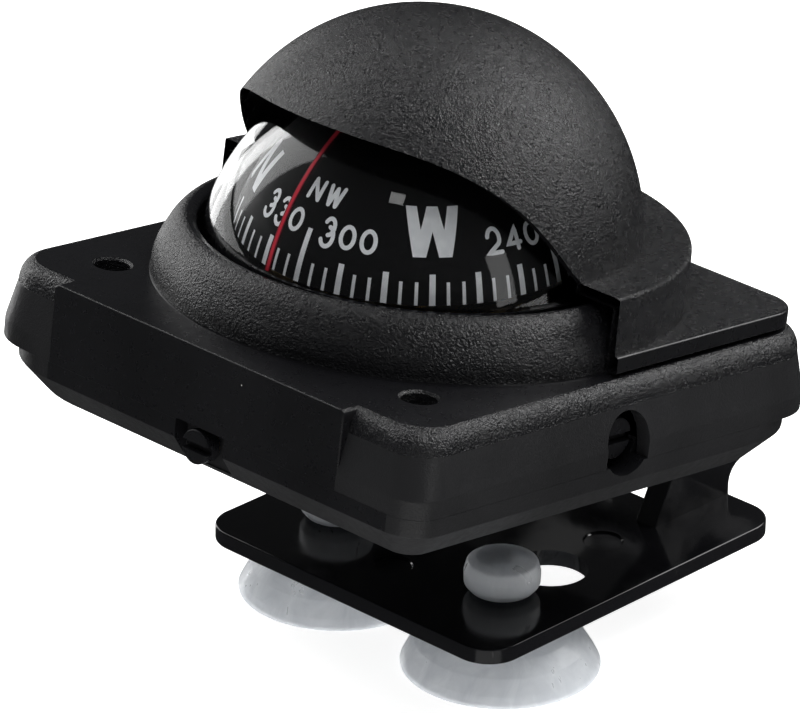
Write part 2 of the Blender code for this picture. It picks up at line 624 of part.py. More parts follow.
def make_compensator(tag, radii, head_end, far_end, head_length, magnets):
    """A shaft between two points, with a slotted head and a cross magnet on either side."""
    start, end = Vector(far_end), Vector(head_end)
    along = (end - start).normalized()
    across = Vector((-along.y, along.x, 0))
    up = Vector((0, 0, 1))
    neck = end - along * head_length
    shaft_r, head_r = radii
    shaft = rod(f"compensator_shaft_{tag}", start, neck + along * 0.5, shaft_r, HOUSING, "brass")
    join(shaft, rod(f"shaft_head_{tag}", neck, end, head_r, HOUSING))
    low = end - along * 1.1 - across * 4 - up * 0.6
    high = end + along * 1.0 + across * 4 + up * 0.6
    lowest = [min(a, b) for a, b in zip(low, high)]
    highest = [max(a, b) for a, b in zip(low, high)]
    cut(shaft, block(f"head_slot_{tag}", lowest, highest, HOUSING))
    middle = end - along * end.dot(along)
    for side, magnet in zip((1, -1), magnets):
        spot = middle + along * 10.5 * side
        name = f"compensator_magnet_{magnet}"
        cut(shaft, rod(name + "_bore", spot - up * 5, spot + up * 5, 1.4, HOUSING, sides=SMALL))
        rod(name, spot - up * 2.0, spot + up * 2.0, 1.1, HOUSING, "magnet", SMALL)


def make_compensators():
    shaft_r, head_r, z = SHAFT_EW
    make_compensator(
        "ew", (shaft_r, head_r), (38.6, 0, z), (-14, 0, z), 2.8, ("ew_right", "ew_left")
    )
    cradle = block("compensator_cradle", (-5, -6, -15.6), (8, 6, z), HOUSING, "black_satin")
    cut(cradle, rod("cradle_upper", (-9, 0, z), (12, 0, z), shaft_r + GAP, HOUSING))
    shaft_r, head_r, z = SHAFT_NS
    x = SHAFT_NS_X
    make_compensator(
        "ns", (shaft_r, head_r), (x, -41.1, z), (x, 14, z), 2.3, ("ns_front", "ns_rear")
    )
    cut(cradle, rod("cradle_lower", (x, -9, z), (x, 9, z), shaft_r + GAP, HOUSING))


# ---------------------------------------------------------------- hood

def hood_profile():
    """The hood's shell: half dome, flat boss top and a thin skirt round the collar."""
    start = math.degrees(math.asin((HOOD_BOSS_Z - HOOD_Z) / HOOD_R))
    inner_r = HOOD_R - HOOD_WALL
    under = HOOD_BOSS_Z - 1.6
    skirt_z = HOOD_PLATE_Z[0] + 0.2
    points = [(0, HOOD_Z + HOOD_R)] + arc(HOOD_R, (0, HOOD_Z), 90, start, 7)[1:]
    points += [(36.3, HOOD_BOSS_Z), (36.8, HOOD_BOSS_Z - 0.5)]
    points += [(HOOD_BOSS_R, skirt_z), (35.75, skirt_z), (35.75, under)]
    points += arc(inner_r, (0, HOOD_Z), 0, 90, 7)[:-1]
    return points + [(0, HOOD_Z + inner_r)]


def make_hood():
    hood = turned("hood", hood_profile(), HOUSING, "black_textured")
    low, high = HOOD_PLATE_Z
    outline = [(x, y) for x, y in square_outline(HOOD_PLATE_HALF, TOP_CORNER)]
    plate = flat_outline("hood_plate", outline, high - low, HOUSING, at=(0, 0, (low + high) / 2))
    cut(plate, rod("plate_hole", (0, 0, -3), (0, 0, 9), 36.4, HOUSING, sides=ROUND))
    pegs = [
        rod(f"peg_{i}", (x, MOUNT_PITCH, -3.0), (x, MOUNT_PITCH, 1.5), 2.1, HOUSING, sides=SMALL)
        for i, x in enumerate((-MOUNT_PITCH, MOUNT_PITCH))
    ]
    # The opening's edge in side view: up from the boss, then curving forward to the peak.
    brow = [(-0.5, HOOD_BOSS_Z - 0.25), (-9.2, 20.6), (-12.8, 23.7), (-16.8, 26.1), (-26.5, 29.2)]
    front = [(-60, -9), (-0.5, -9)] + brow + [(-60, 30)]
    opening = flat_outline("hood_opening", front, 100, HOUSING, turn=SIDEWAYS)
    join(hood, plate, *pegs)
    cut(hood, opening)


make_bracket()
make_cups()
make_hinge_hardware()
make_upper_housing()
make_lower_housing()
make_case_screws()
make_dome()
make_bowl()
make_capsule_clamp()
make_lubber_line()
make_gimbal()
make_yoke()
make_card()
make_compensators()
make_hood()
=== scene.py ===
"""Looks for the dash-mount dome compass: finer pieces, materials, lights and the camera.

Lengths in the helpers are millimetres and angles degrees. HOUSING is the tilted housing's
frame, with its origin on the dome's axis at the flat top face. BRACKET has its origin under
that axis at the top of the bracket's plate. Directions of lights and of the camera are an
azimuth, 0 in front of the compass and 90 at its right, and an elevation.
"""

import json
import math

import bmesh
import bpy
from mathutils import Matrix, Vector


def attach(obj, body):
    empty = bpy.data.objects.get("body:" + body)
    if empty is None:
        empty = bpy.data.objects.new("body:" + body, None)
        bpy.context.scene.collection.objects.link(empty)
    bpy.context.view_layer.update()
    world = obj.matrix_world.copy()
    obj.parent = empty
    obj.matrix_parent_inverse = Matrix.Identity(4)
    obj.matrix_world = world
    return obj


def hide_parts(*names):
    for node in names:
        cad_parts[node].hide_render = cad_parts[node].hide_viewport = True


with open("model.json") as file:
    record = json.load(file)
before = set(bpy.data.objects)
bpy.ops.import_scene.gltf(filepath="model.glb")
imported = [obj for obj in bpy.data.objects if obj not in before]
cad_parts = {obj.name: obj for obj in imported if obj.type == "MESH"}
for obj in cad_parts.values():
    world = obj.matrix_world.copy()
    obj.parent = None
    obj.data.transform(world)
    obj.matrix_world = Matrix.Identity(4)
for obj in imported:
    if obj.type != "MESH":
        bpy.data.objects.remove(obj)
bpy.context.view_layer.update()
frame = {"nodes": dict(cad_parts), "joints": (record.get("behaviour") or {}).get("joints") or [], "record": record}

MM = 0.001

# Sizes that the finer pieces share with the CAD
TOP_HALF = 37.3           # half the width of the flat top
HALF = 40.9               # half the outer width
TOP_CORNER = 5.4
UPPER_CORNER = 8.8
LOWER_CORNER = 14.1
FRONT_CORNER = 4.8        # the right front corner, sharper than the other three
BEVEL_CORNER = 3.0        # the bevel's lower edge at that corner
PARTING_Z = -11.0
FLOOR_Z = -17.0
BEVEL_Z = -13.5
SEAM = 0.03               # width of the line between the two shells
MOUNT_PITCH = 28.6
MOUNT_HOLE_R = 2.45
CASE_SCREW_XY = (33.6, 19.0)
DOME_R = 29.5
DOME_Z = 2.4
DOME_SKIN = 0.5           # the clear dome's wall, thinner than the CAD's so that it bends light less
HOOD_R = 30.2
HOOD_Z = 9.3
HOOD_WALL = 1.15
HOOD_BOSS_Z = 10.9
HOOD_PLATE_HALF = 37.6
HOOD_PLATE_Z = (0.5, 2.9)
CARD_R = 25.2
CARD_EDGE_Z = 5.95
CARD_TOP_Z = 22.1
CARD_CAP = 72             # elevation where the card's round band meets its cap
CARD_HEADING = 41.4       # clockwise turn of the card at rest
SHAFT_EW = (2.4, 2.9, -8.2)     # shaft radius, head radius, height
SHAFT_NS = (1.9, 2.4, -13.6)
SHAFT_NS_X = 1.6
POCKET_X = (-2.4, 6.6)    # the pocket round the front head
PAD_HALF = 26.9           # half the width of the smooth pad on the front
HINGE_Y = 46.0
HINGE_Z = 12.0
HINGE_BOLT_R = 2.5
PLATE_HALF_X = 27.7
PLATE_Y = (-12.8, 46.6)
PLATE_T = 2.36
PLATE_CORNER = 5.2
ARM_X = (14.2, 17.8)
EAR_R = 8.0
LUG_X = (9.0, 12.8)
LUG_R = 6.5
CUP_XY = (15.7, 2.3)
CUP_RIM_Z = -10.9


# ---------------------------------------------------------------- frames

def axes(x_axis, y_axis, z_axis, origin):
    """A matrix from millimetres in a frame to metres in the row's frame."""
    matrix = Matrix.Identity(4)
    for column, axis in enumerate((x_axis, y_axis, z_axis)):
        matrix.col[column] = (*(Vector(axis) * MM), 0.0)
    matrix.translation = origin
    return matrix


JOINTS = {joint["name"]: joint for joint in frame["joints"]}
X_AXIS, Y_AXIS, Z_AXIS = Vector((1, 0, 0)), Vector((0, 1, 0)), Vector((0, 0, 1))
UP = Vector(JOINTS["hood_lift"]["axis"]).normalized()
CARD_UP = Vector(JOINTS["card_heading"]["axis"]).normalized()
GIMBAL_CENTRE = Vector(JOINTS["gimbal_pitch"]["pos_m"])
TILT_AXIS = Vector(JOINTS["housing_tilt"]["pos_m"])
HOUSING = axes(X_AXIS, UP.cross(X_AXIS), UP, GIMBAL_CENTRE - 4.0 * MM * UP)
BRACKET = axes(X_AXIS, Y_AXIS, Z_AXIS, TILT_AXIS - Vector((0, HINGE_Y, HINGE_Z)) * MM)
CARD = axes(Y_AXIS.cross(CARD_UP), Y_AXIS, CARD_UP, GIMBAL_CENTRE)
CARD = CARD @ Matrix.Rotation(math.radians(-CARD_HEADING), 4, "Z")
# These stand an outline up: SIDEWAYS reads it as (y, z) and FORWARD as (x, z).
SIDEWAYS = Matrix(((0, 0, 1, 0), (1, 0, 0, 0), (0, 1, 0, 0), (0, 0, 0, 1)))
FORWARD = Matrix(((1, 0, 0, 0), (0, 0, -1, 0), (0, 1, 0, 0), (0, 0, 0, 1)))


def spot(x, y, z=0.0):
    return Matrix.Translation((x, y, z))


def pointing(direction, at):
    """Turns +Z along a direction, from a point."""
    turn = Z_AXIS.rotation_difference(Vector(direction))
    return Matrix.Translation(at) @ turn.to_matrix().to_4x4()


# ---------------------------------------------------------------- outlines

def arc(radius, centre, start, end, count):
    angles = [math.radians(start + (end - start) * i / count) for i in range(count + 1)]
    return [(centre[0] + radius * math.cos(a), centre[1] + radius * math.sin(a)) for a in angles]


def rounded(points, steps=5, closed=False):
    """Rounds the corners of a path: a point (x, y, r) gets a fillet of about radius r."""
    result = []
    for i, (x, y, *radius) in enumerate(points):
        here = Vector((x, y))
        if not radius or (not closed and i in (0, len(points) - 1)):
            result.append((x, y))
            continue
        before = Vector(points[i - 1][:2]) - here
        after = Vector(points[(i + 1) % len(points)][:2]) - here
        reach = radius[0] / math.tan(before.angle(after) / 2)
        reach = min(reach, 0.49 * before.length, 0.49 * after.length)
        first, last = here + before.normalized() * reach, here + after.normalized() * reach
        for step in range(steps + 1):
            t = step / steps
            result.append(tuple(first * (1 - t) ** 2 + here * (2 * t * (1 - t)) + last * t * t))
    return result


def smoothed(points, rounds=2):
    """Cuts the corners of an open path again and again, and keeps its ends."""
    for _ in range(rounds):
        cut = [points[0]]
        for (x0, y0), (x1, y1) in zip(points, points[1:]):
            cut.append((0.75 * x0 + 0.25 * x1, 0.75 * y0 + 0.25 * y1))
            cut.append((0.25 * x0 + 0.75 * x1, 0.25 * y0 + 0.75 * y1))
        points = cut + [points[-1]]
    return points


def square_outline(half, corner, near_corner=None, steps=12):
    """A square with round corners; near_corner is the right front corner's radius."""
    points = []
    radii = [corner, corner, corner, near_corner or corner]
    for quarter, (sign_x, sign_y) in enumerate(((1, 1), (-1, 1), (-1, -1), (1, -1))):
        radius = radii[quarter]
        middle = (sign_x * (half - radius), sign_y * (half - radius))
        points += arc(radius, middle, 90 * quarter, 90 * quarter + 90, steps)
    return points


def inset(points, distance):
    """A closed counterclockwise outline, moved inwards."""
    moved = []
    for i, point in enumerate(points):
        here = Vector(point)
        to_next = (Vector(points[(i + 1) % len(points)]) - here).normalized()
        from_last = (here - Vector(points[i - 1])).normalized()
        normal = Vector((-to_next.y - from_last.y, to_next.x + from_last.x)).normalized()
        lean = max(0.35, normal.dot(Vector((-to_next.y, to_next.x))))
        moved.append(tuple(here + normal * (distance / lean)))
    return moved


# ---------------------------------------------------------------- meshes

def make_piece(name, bm, place):
    bmesh.ops.recalc_face_normals(bm, faces=bm.faces)
    bmesh.ops.transform(bm, matrix=place, verts=bm.verts)
    mesh = bpy.data.meshes.new(name)
    bm.to_mesh(mesh)
    bm.free()
    piece = bpy.data.objects.new(name, mesh)
    bpy.context.scene.collection.objects.link(piece)
    return piece


def join_rings(bm, rings, closed):
    """Faces between rings of vertices; a ring of one vertex is a point on the axis."""
    pairs = list(zip(rings, rings[1:]))
    if closed:
        pairs.append((rings[-1], rings[0]))
    for lower, upper in pairs:
        count = max(len(lower), len(upper))
        for i in range(count):
            j = (i + 1) % count
            corners = []
            for ring, k in ((lower, i), (lower, j), (upper, j), (upper, i)):
                vertex = ring[k % len(ring)]
                if vertex not in corners:
                    corners.append(vertex)
            if len(corners) > 2:
                bm.faces.new(corners)


def lathe(name, profile, place, sides=96, closed=False):
    """Turns a profile of (radius, z) points about Z."""
    bm = bmesh.new()
    rings = []
    for radius, z in profile:
        count = 1 if radius < 1e-4 else sides
        turns = [math.tau * i / sides for i in range(count)]
        rings.append([bm.verts.new((radius * math.cos(a), radius * math.sin(a), z)) for a in turns])
    join_rings(bm, rings, closed)
    return make_piece(name, bm, place)


def loft(name, levels, place, closed=False):
    """Joins closed outlines, each (points, z), and caps the ends unless they meet."""
    bm = bmesh.new()
    rings = [[bm.verts.new((x, y, z)) for x, y in points] for points, z in levels]
    join_rings(bm, rings, closed)
    if not closed:
        bm.faces.new(rings[0])
        bm.faces.new(rings[-1])
    return make_piece(name, bm, place)


def slab(name, outline, low, high, place, edge=0.3, steps=4):
    """A plate with a rounded edge all round."""
    levels = []
    for z, sign in ((low, 1), (high, -1)):
        quarter = []
        for step in range(steps + 1):
            angle = math.radians(90 * step / steps)
            depth = edge * (1 - math.cos(angle))
            quarter.append((inset(outline, edge * (1 - math.sin(angle))), z + sign * depth))
        levels += quarter if sign > 0 else quarter[::-1]
    return loft(name, levels, place)


def prism(name, outline, low, high, place):
    return loft(name, [(outline, low), (outline, high)], place)


def block(name, low, high, place):
    outline = [(low[0], low[1]), (high[0], low[1]), (high[0], high[1]), (low[0], high[1])]
    return prism(name, outline, low[2], high[2], place)


def rod(name, radius, low, high, place, sides=48):
    return lathe(name, [(0, low), (radius, low), (radius, high), (0, high)], place, sides)


def apply_modifiers(piece):
    graph = bpy.context.evaluated_depsgraph_get()
    mesh = bpy.data.meshes.new_from_object(piece.evaluated_get(graph), depsgraph=graph)
    piece.modifiers.clear()
    piece.data = mesh


def combine(piece, operation, tools):
    for tool in tools:
        step = piece.modifiers.new(tool.name, "BOOLEAN")
        step.operation = operation
        step.solver = "EXACT"
        step.object = tool
    apply_modifiers(piece)
    for tool in tools:
        bpy.data.objects.remove(tool, do_unlink=True)


def cut(piece, *tools):
    combine(piece, "DIFFERENCE", tools)


def join(piece, *tools):
    combine(piece, "UNION", tools)


def finish_piece(piece, body, materials, nodes=(), sharp=32, pick=None, place=None):
    """Shades a piece, gives it its materials and ties it to the frame.

    pick chooses a face's material from its centre and normal in the frame of place."""
    if not isinstance(materials, (list, tuple)):
        materials = [materials]
    mesh = piece.data
    mesh.materials.clear()
    for material in materials:
        mesh.materials.append(material)
    to_local = place.inverted() if place else Matrix.Identity(4)
    turn = to_local.to_3x3().normalized()
    for polygon in mesh.polygons:
        polygon.material_index = 0
        if pick:
            polygon.material_index = pick(to_local @ polygon.center, turn @ polygon.normal)
    mesh.shade_smooth()
    mesh.set_sharp_from_angle(angle=math.radians(sharp))
    piece.modifiers.new("normals", "WEIGHTED_NORMAL").keep_sharp = True
    apply_modifiers(piece)
    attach(piece, body)
    if nodes:
        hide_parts(*nodes)
    return piece


def corner_places(x, y):
    return [(sign_x * x, sign_y * y) for sign_x in (-1, 1) for sign_y in (-1, 1)]


CORNER_HOLES = corner_places(MOUNT_PITCH, MOUNT_PITCH)
CASE_SCREWS = corner_places(*CASE_SCREW_XY)


# ---------------------------------------------------------------- materials

class Graph:
    """A material with a Principled shader, and short calls that add nodes to it."""

    def __init__(self, name, **inputs):
        self.material = bpy.data.materials.new(name)
        self.material.use_nodes = True
        self.tree = self.material.node_tree
        self.shader = self.tree.nodes["Principled BSDF"]
        self.output = self.tree.nodes["Material Output"]
        self.where = self.add("ShaderNodeTexCoord").outputs["Object"]
        for key, value in inputs.items():
            self.feed(key.replace("_", " ").title(), value)

    def set(self, node, key, value):
        if isinstance(value, bpy.types.NodeSocket):
            self.tree.links.new(value, node.inputs[key])
        else:
            node.inputs[key].default_value = value

    def feed(self, key, value):
        """Gives the shader's socket a value or links it."""
        self.set(self.shader, key, value)

    def add(self, kind, inputs=None, **settings):
        node = self.tree.nodes.new(kind)
        for key, value in settings.items():
            setattr(node, key, value)
        for key, value in (inputs or {}).items():
            self.set(node, key, value)
        return node

    def noise(self, scale, detail=2.0, roughness=0.5, distortion=0.0, where=None):
        inputs = {"Vector": where or self.where, "Scale": scale, "Detail": detail}
        inputs.update({"Roughness": roughness, "Distortion": distortion})
        return self.add("ShaderNodeTexNoise", inputs).outputs["Fac"]

    def scaled(self, x, y, z):
        inputs = {"Vector": self.where, "Scale": (x, y, z)}
        return self.add("ShaderNodeMapping", inputs).outputs["Vector"]

    def ramp(self, value, low, high, to_low=0.0, to_high=1.0):
        inputs = {"Value": value, "From Min": low, "From Max": high}
        inputs.update({"To Min": to_low, "To Max": to_high})
        return self.add("ShaderNodeMapRange", inputs).outputs["Result"]

    def maths(self, operation, first, second=0.0):
        return self.add("ShaderNodeMath", {0: first, 1: second}, operation=operation).outputs[0]

    def mix(self, factor, first, second):
        inputs = {0: factor, 6: (*first, 1) if isinstance(first, tuple) else first}
        inputs[7] = (*second, 1) if isinstance(second, tuple) else second
        return self.add("ShaderNodeMix", inputs, data_type="RGBA").outputs[2]

    def bump(self, height, strength, depth, normal=None):
        """A bump whose full height is depth in millimetres."""
        inputs = {"Height": height, "Strength": strength, "Distance": depth * MM}
        if normal:
            inputs["Normal"] = normal
        return self.add("ShaderNodeBump", inputs).outputs["Normal"]

    def specks(self, scale, size, share, seed=0.0):
        """Small round dust specks in some of the cells of a grid, 1 on a speck."""
        shift = self.add("ShaderNodeMapping", {"Vector": self.where, "Location": (seed, seed, seed)})
        cells = self.add("ShaderNodeTexVoronoi", {"Vector": shift.outputs[0], "Scale": scale})
        near = self.ramp(cells.outputs["Distance"], size, size * 0.5)
        pick = self.add("ShaderNodeSeparateColor", {"Color": cells.outputs["Color"]})
        chosen = self.maths("LESS_THAN", pick.outputs[0], share)
        return self.maths("MULTIPLY", near, chosen)

    def through(self, tint):
        """Lets lamps shine through the clear material instead of leaving it in shadow."""
        clear = self.add("ShaderNodeBsdfTransparent", {"Color": (*tint, 1)})
        path = self.add("ShaderNodeLightPath")
        mix = self.add("ShaderNodeMixShader", {0: path.outputs["Is Shadow Ray"]})
        self.tree.links.new(self.shader.outputs[0], mix.inputs[1])
        self.tree.links.new(clear.outputs[0], mix.inputs[2])
        self.tree.links.new(mix.outputs[0], self.output.inputs["Surface"])


DUST = (0.42, 0.42, 0.40)


def black_plastic(name, base, rough, grain, dust=0.05, wear=0.0, shine=0.5):
    """Moulded black plastic; grain is (scale, depth) of each layer of its texture."""
    graph = Graph(name)
    graph.feed("Specular IOR Level", shine)
    tone = graph.ramp(graph.noise(60, 3), 0.3, 0.7)
    dark, light = tuple(c * 0.8 for c in base), tuple(c * 1.25 for c in base)
    colour = graph.mix(tone, dark, light)
    normal = None
    pits = None
    for scale, depth in grain:
        pits = graph.ramp(graph.noise(scale, 1.5, 0.55, 0.2), 0.32, 0.68)
        normal = graph.bump(pits, 1.0, depth, normal)
    if wear:
        colour = graph.mix(graph.ramp(pits, 0.7, 1.0, 0.0, wear), colour, (0.10, 0.10, 0.10))
    speck = graph.specks(230, 0.028, dust)
    colour = graph.mix(speck, colour, DUST)
    graph.feed("Base Color", colour)
    spread = graph.ramp(graph.noise(900, 2), 0.3, 0.7, rough - 0.05, rough + 0.06)
    graph.feed("Roughness", spread)
    if normal:
        graph.feed("Normal", normal)
    return graph.material


def gloss_plastic(name):
    """Polished black plastic with fine scratches, smears and dust."""
    graph = Graph(name, base_color=(0.006, 0.006, 0.007, 1))
    smear = graph.ramp(graph.noise(110, 3, 0.6, 0.6), 0.42, 0.75, 0.09, 0.26)
    graph.feed("Roughness", smear)
    hairs = graph.noise(1.0, 1.0, 0.5, 0.0, graph.scaled(90, 1500, 600))
    speck = graph.maths("MAXIMUM", graph.specks(210, 0.036, 0.12), graph.specks(420, 0.04, 0.06, 3.0))
    scratch = graph.ramp(hairs, 0.74, 0.80)
    mark = graph.maths("MAXIMUM", speck, graph.maths("MULTIPLY", scratch, 0.04))
    graph.feed("Base Color", graph.mix(mark, (0.006, 0.006, 0.007), DUST))
    ripple = graph.bump(graph.noise(70, 1.0), 1.0, 0.02)
    graph.feed("Normal", graph.bump(speck, 1.0, 0.03, ripple))
    return graph.material


def clear_acrylic(name):
    graph = Graph(name, base_color=(0.985, 0.99, 0.99, 1), transmission_weight=1.0)
    graph.feed("IOR", 1.49)
    scuff = graph.ramp(graph.noise(140, 2), 0.55, 0.8, 0.0, 0.03)
    graph.feed("Roughness", scuff)
    graph.through((0.97, 0.97, 0.97))
    return graph.material


def clear_vinyl(name):
    """Milky soft vinyl, with flow marks and a soft haze."""
    graph = Graph(name, transmission_weight=0.45)
    graph.feed("IOR", 1.42)
    flow = graph.noise(1.0, 3, 0.6, 1.2, graph.scaled(260, 260, 110))
    colour = graph.mix(graph.ramp(flow, 0.3, 0.75), (0.74, 0.76, 0.78), (0.55, 0.57, 0.60))
    graph.feed("Base Color", colour)
    graph.feed("Roughness", graph.ramp(flow, 0.3, 0.7, 0.26, 0.42))
    graph.feed("Normal", graph.bump(graph.noise(260, 2, 0.5, 0.4), 0.8, 0.05))
    graph.feed("Subsurface Weight", 0.25)
    graph.feed("Subsurface Radius", (0.004, 0.004, 0.004))
    graph.feed("Subsurface Scale", 1.0)
    graph.through((0.80, 0.81, 0.82))
    return graph.material


def painted(name, base, rough, shade):
    """Paint or ink: even colour with a faint unevenness."""
    graph = Graph(name)
    tone = graph.ramp(graph.noise(700, 3, 0.6), 0.35, 0.7)
    graph.feed("Base Color", graph.mix(tone, shade, base))
    graph.feed("Roughness", graph.ramp(tone, 0.0, 1.0, rough + 0.1, rough))
    graph.feed("Normal", graph.bump(graph.noise(1600, 2), 0.5, 0.02))
    return graph.material


def lubber_paint(name):
    """Red line, with painted shade that darkens it along its two edges."""
    graph = Graph(name)
    parts = graph.add("ShaderNodeSeparateXYZ", {"Vector": graph.where})
    off = graph.maths("ABSOLUTE", parts.outputs["X"])
    streak = graph.noise(1.0, 2, 0.6, 0.0, graph.scaled(5200, 500, 500))
    off = graph.maths("ADD", off, graph.ramp(streak, 0.3, 0.7, -0.00008, 0.00008))
    # painted shade: the darker red towards both edges stands in for the shade along the line's sides
    edge = graph.ramp(off, 0.00012, 0.00034)
    colour = graph.mix(edge, (0.36, 0.016, 0.03), (0.07, 0.002, 0.006))
    graph.feed("Base Color", colour)
    graph.feed("Roughness", graph.ramp(streak, 0.3, 0.7, 0.3, 0.5))
    return graph.material


def metal(name, base, rough):
    """Turned or brushed metal with streaks and slight tarnish."""
    graph = Graph(name, metallic=1.0)
    streak = graph.noise(1.0, 3, 0.6, 0.0, graph.scaled(300, 300, 2600))
    dull = tuple(c * 0.62 for c in base)
    stain = graph.ramp(graph.noise(180, 3, 0.6), 0.4, 0.8)
    graph.feed("Base Color", graph.mix(stain, base, dull))
    graph.feed("Roughness", graph.ramp(streak, 0.3, 0.7, rough - 0.08, rough + 0.14))
    graph.feed("Normal", graph.bump(streak, 0.6, 0.02))
    return graph.material


def moulding(name, base, rough, metallic=0.0, depth=0.02, shine=0.5):
    """Plain moulded or cast material with a fine surface."""
    graph = Graph(name, metallic=metallic)
    graph.feed("Specular IOR Level", shine)
    tone = graph.ramp(graph.noise(120, 4, 0.6), 0.3, 0.7)
    graph.feed("Base Color", graph.mix(tone, tuple(c * 0.8 for c in base), base))
    graph.feed("Roughness", graph.ramp(tone, 0.0, 1.0, rough, rough + 0.12))
    graph.feed("Normal", graph.bump(graph.noise(1500, 2), 0.8, depth))
    return graph.material


LOOKS = {
    "black_textured": black_plastic(
        "black_textured", (0.006, 0.006, 0.007), 0.24, ((2700, 0.085), (5200, 0.060)), 0.03, 0.04, 1.0
    ),
    "black_satin": black_plastic(
        "black_satin", (0.006, 0.006, 0.007), 0.30, ((2600, 0.004), (5200, 0.004)), 0.08, 0.0, 0.5
    ),
    "black_fine": black_plastic(
        "black_fine", (0.012, 0.012, 0.013), 0.38, ((2300, 0.014), (4600, 0.012)), 0.05, 0.0, 0.8
    ),
    # Like black_fine but lighter and shinier: its lighter base colour is painted light for the pale floor that the
    # bevel reflects.
    "black_bevel_painted_light": black_plastic(
        "black_bevel_painted_light", (0.018, 0.018, 0.019), 0.42, ((2300, 0.014), (4600, 0.012)), 0.05, 0.0, 0.9
    ),
    "black_gloss": gloss_plastic("black_gloss"),
    "clear_dome": clear_acrylic("clear_dome"),
    "clear_vinyl": clear_vinyl("clear_vinyl"),
    "card_black": moulding("card_black", (0.0035, 0.0035, 0.004), 0.45, depth=0.006, shine=0.12),
    "white_paint": painted("white_paint", (0.86, 0.88, 0.90), 0.45, (0.74, 0.76, 0.79)),
    "lubber_red": lubber_paint("lubber_red"),
    "seal_rubber": moulding("seal_rubber", (0.025, 0.025, 0.025), 0.62),
    "steel": metal("steel", (0.62, 0.62, 0.64), 0.26),
    "brass": metal("brass", (0.74, 0.54, 0.24), 0.28),
    "magnet": moulding("magnet", (0.25, 0.25, 0.27), 0.34, 0.7),
    "jewel": moulding("jewel", (0.65, 0.07, 0.15), 0.06, depth=0.001),
    "capsule_plastic": moulding("capsule_plastic", (0.76, 0.76, 0.74), 0.40),
}


# ---------------------------------------------------------------- housing

def make_upper_housing():
    profile = []
    for step in range(13):
        angle = math.radians(7.5 * step)
        profile.append((TOP_HALF + 2.3 * math.sin(angle), -3.2 * (1 - math.cos(angle))))
    wall = [(39.6, -3.2), (HALF, -8.5, 2.0), (HALF, PARTING_Z), (38.9, PARTING_Z)]
    profile += rounded(wall)[1:]
    profile += [(38.6, -8.5), (37.2, -2.2)]
    levels = []
    for half, z in profile:
        out = (half - TOP_HALF) / (HALF - TOP_HALF)
        corner = TOP_CORNER + out * (UPPER_CORNER - TOP_CORNER)
        near = TOP_CORNER + out * (FRONT_CORNER - TOP_CORNER)
        levels.append((square_outline(half, corner, near), z))
    shell = loft("upper_housing", levels, HOUSING)
    cut(shell, rod("collar_hole", 34.9, -9, 9, HOUSING, 128))
    for x, y in CASE_SCREWS:
        join(shell, rod("post", 2.2, -14.5, -1.5, HOUSING @ spot(x, y), 24))
    pad = [(-PAD_HALF, -13.0), (PAD_HALF, -13.0), (PAD_HALF, -0.005, 0.9), (-PAD_HALF, -0.005, 0.9)]
    pad = slab("pad", rounded(pad, closed=True), 36.2, HALF + 0.03, HOUSING @ FORWARD, 0.3)
    cut(pad, block("pad_end", (-40, -50, -20), (40, -30, PARTING_Z), HOUSING))
    join(shell, pad)
    holes = []
    for x, y in CORNER_HOLES:
        rim = [(0, -9), (MOUNT_HOLE_R, -9), (MOUNT_HOLE_R, -0.35), (MOUNT_HOLE_R + 0.35, 0.02)]
        rim += [(MOUNT_HOLE_R + 0.35, 4), (0, 4)]
        holes.append(lathe("top_hole", rim, HOUSING @ spot(x, y), 64))
    arch = [(4.1, -14.0)] + arc(4.1, (0, SHAFT_EW[2] + 0.3), 0, 180, 32) + [(-4.1, -14.0)]
    holes.append(prism("side_arch", arch, HALF - 6, HALF + 6, HOUSING @ SIDEWAYS))
    low, high = (POCKET_X[0], -50, -14), (POCKET_X[1], -34, -10.8)
    holes.append(block("front_notch", low, high, HOUSING))
    cut(shell, *holes)

    def pick(centre, normal):
        """Satin on the pad, the flat top and the posts; coarse grain above, fine below."""
        on_pad = abs(centre.x) < PAD_HALF + 0.1 and centre.y < -39.2 and normal.z < 0.95
        if on_pad or (normal.z > 0.985 and centre.z > -0.2) or centre.z < -11.2:
            return 0
        return 1 if centre.z > -3.25 else 2

    looks = [LOOKS["black_satin"], LOOKS["black_textured"], LOOKS["black_fine"]]
    finish_piece(shell, "housing", looks, ["upper_housing"], 32, pick, HOUSING)


def make_collar():
    """The ring round the dome: a smooth lip and a grained slope with a small foot fillet."""
    slope = [(30.4, 8.0), (31.3, 8.35), (32.3, 7.9), (33.4, 6.7), (34.3, 5.0), (35.1, 3.2)]
    slope = smoothed([(29.8, 7.2), (29.9, 7.7)] + slope + [(35.4, 1.7), (35.4, 0.9)], 3)
    foot = [(35.42, 0.25), (35.55, 0.04), (35.7, 0.01), (35.7, -0.3)]
    profile = slope + foot + [(34.8, -0.3), (34.8, -3.3), (33.1, -3.3), (33.1, 2.6), (29.8, 2.6)]
    collar = lathe("collar", profile, HOUSING, 144, closed=True)

    def pick(centre, normal):
        return 0 if centre.xy.length < 31.2 or centre.z < 0.3 else 1

    looks = [LOOKS["black_satin"], LOOKS["black_textured"]]
    finish_piece(collar, "housing", looks, ["upper_housing"], 40, pick, HOUSING)


def lug_outline():
    """A hinge lug: from inside the floor and rear wall out to a round end."""
    hinge = HOUSING.inverted() @ TILT_AXIS
    centre = Vector((hinge.y, hinge.z))
    front, rear = Vector((22.0, -16.4)), Vector((39.6, -12.6))

    def tangent(point, turn):
        reach = centre - point
        lean = math.asin(LUG_R / reach.length)
        return math.degrees(math.atan2(reach.y, reach.x) + turn * lean)

    end = arc(LUG_R, centre, tangent(front, -1) - 90, tangent(rear, 1) + 90, 40)
    return [tuple(front)] + end + [tuple(rear), (38.3, -13.5), (36.2, -16.2)]


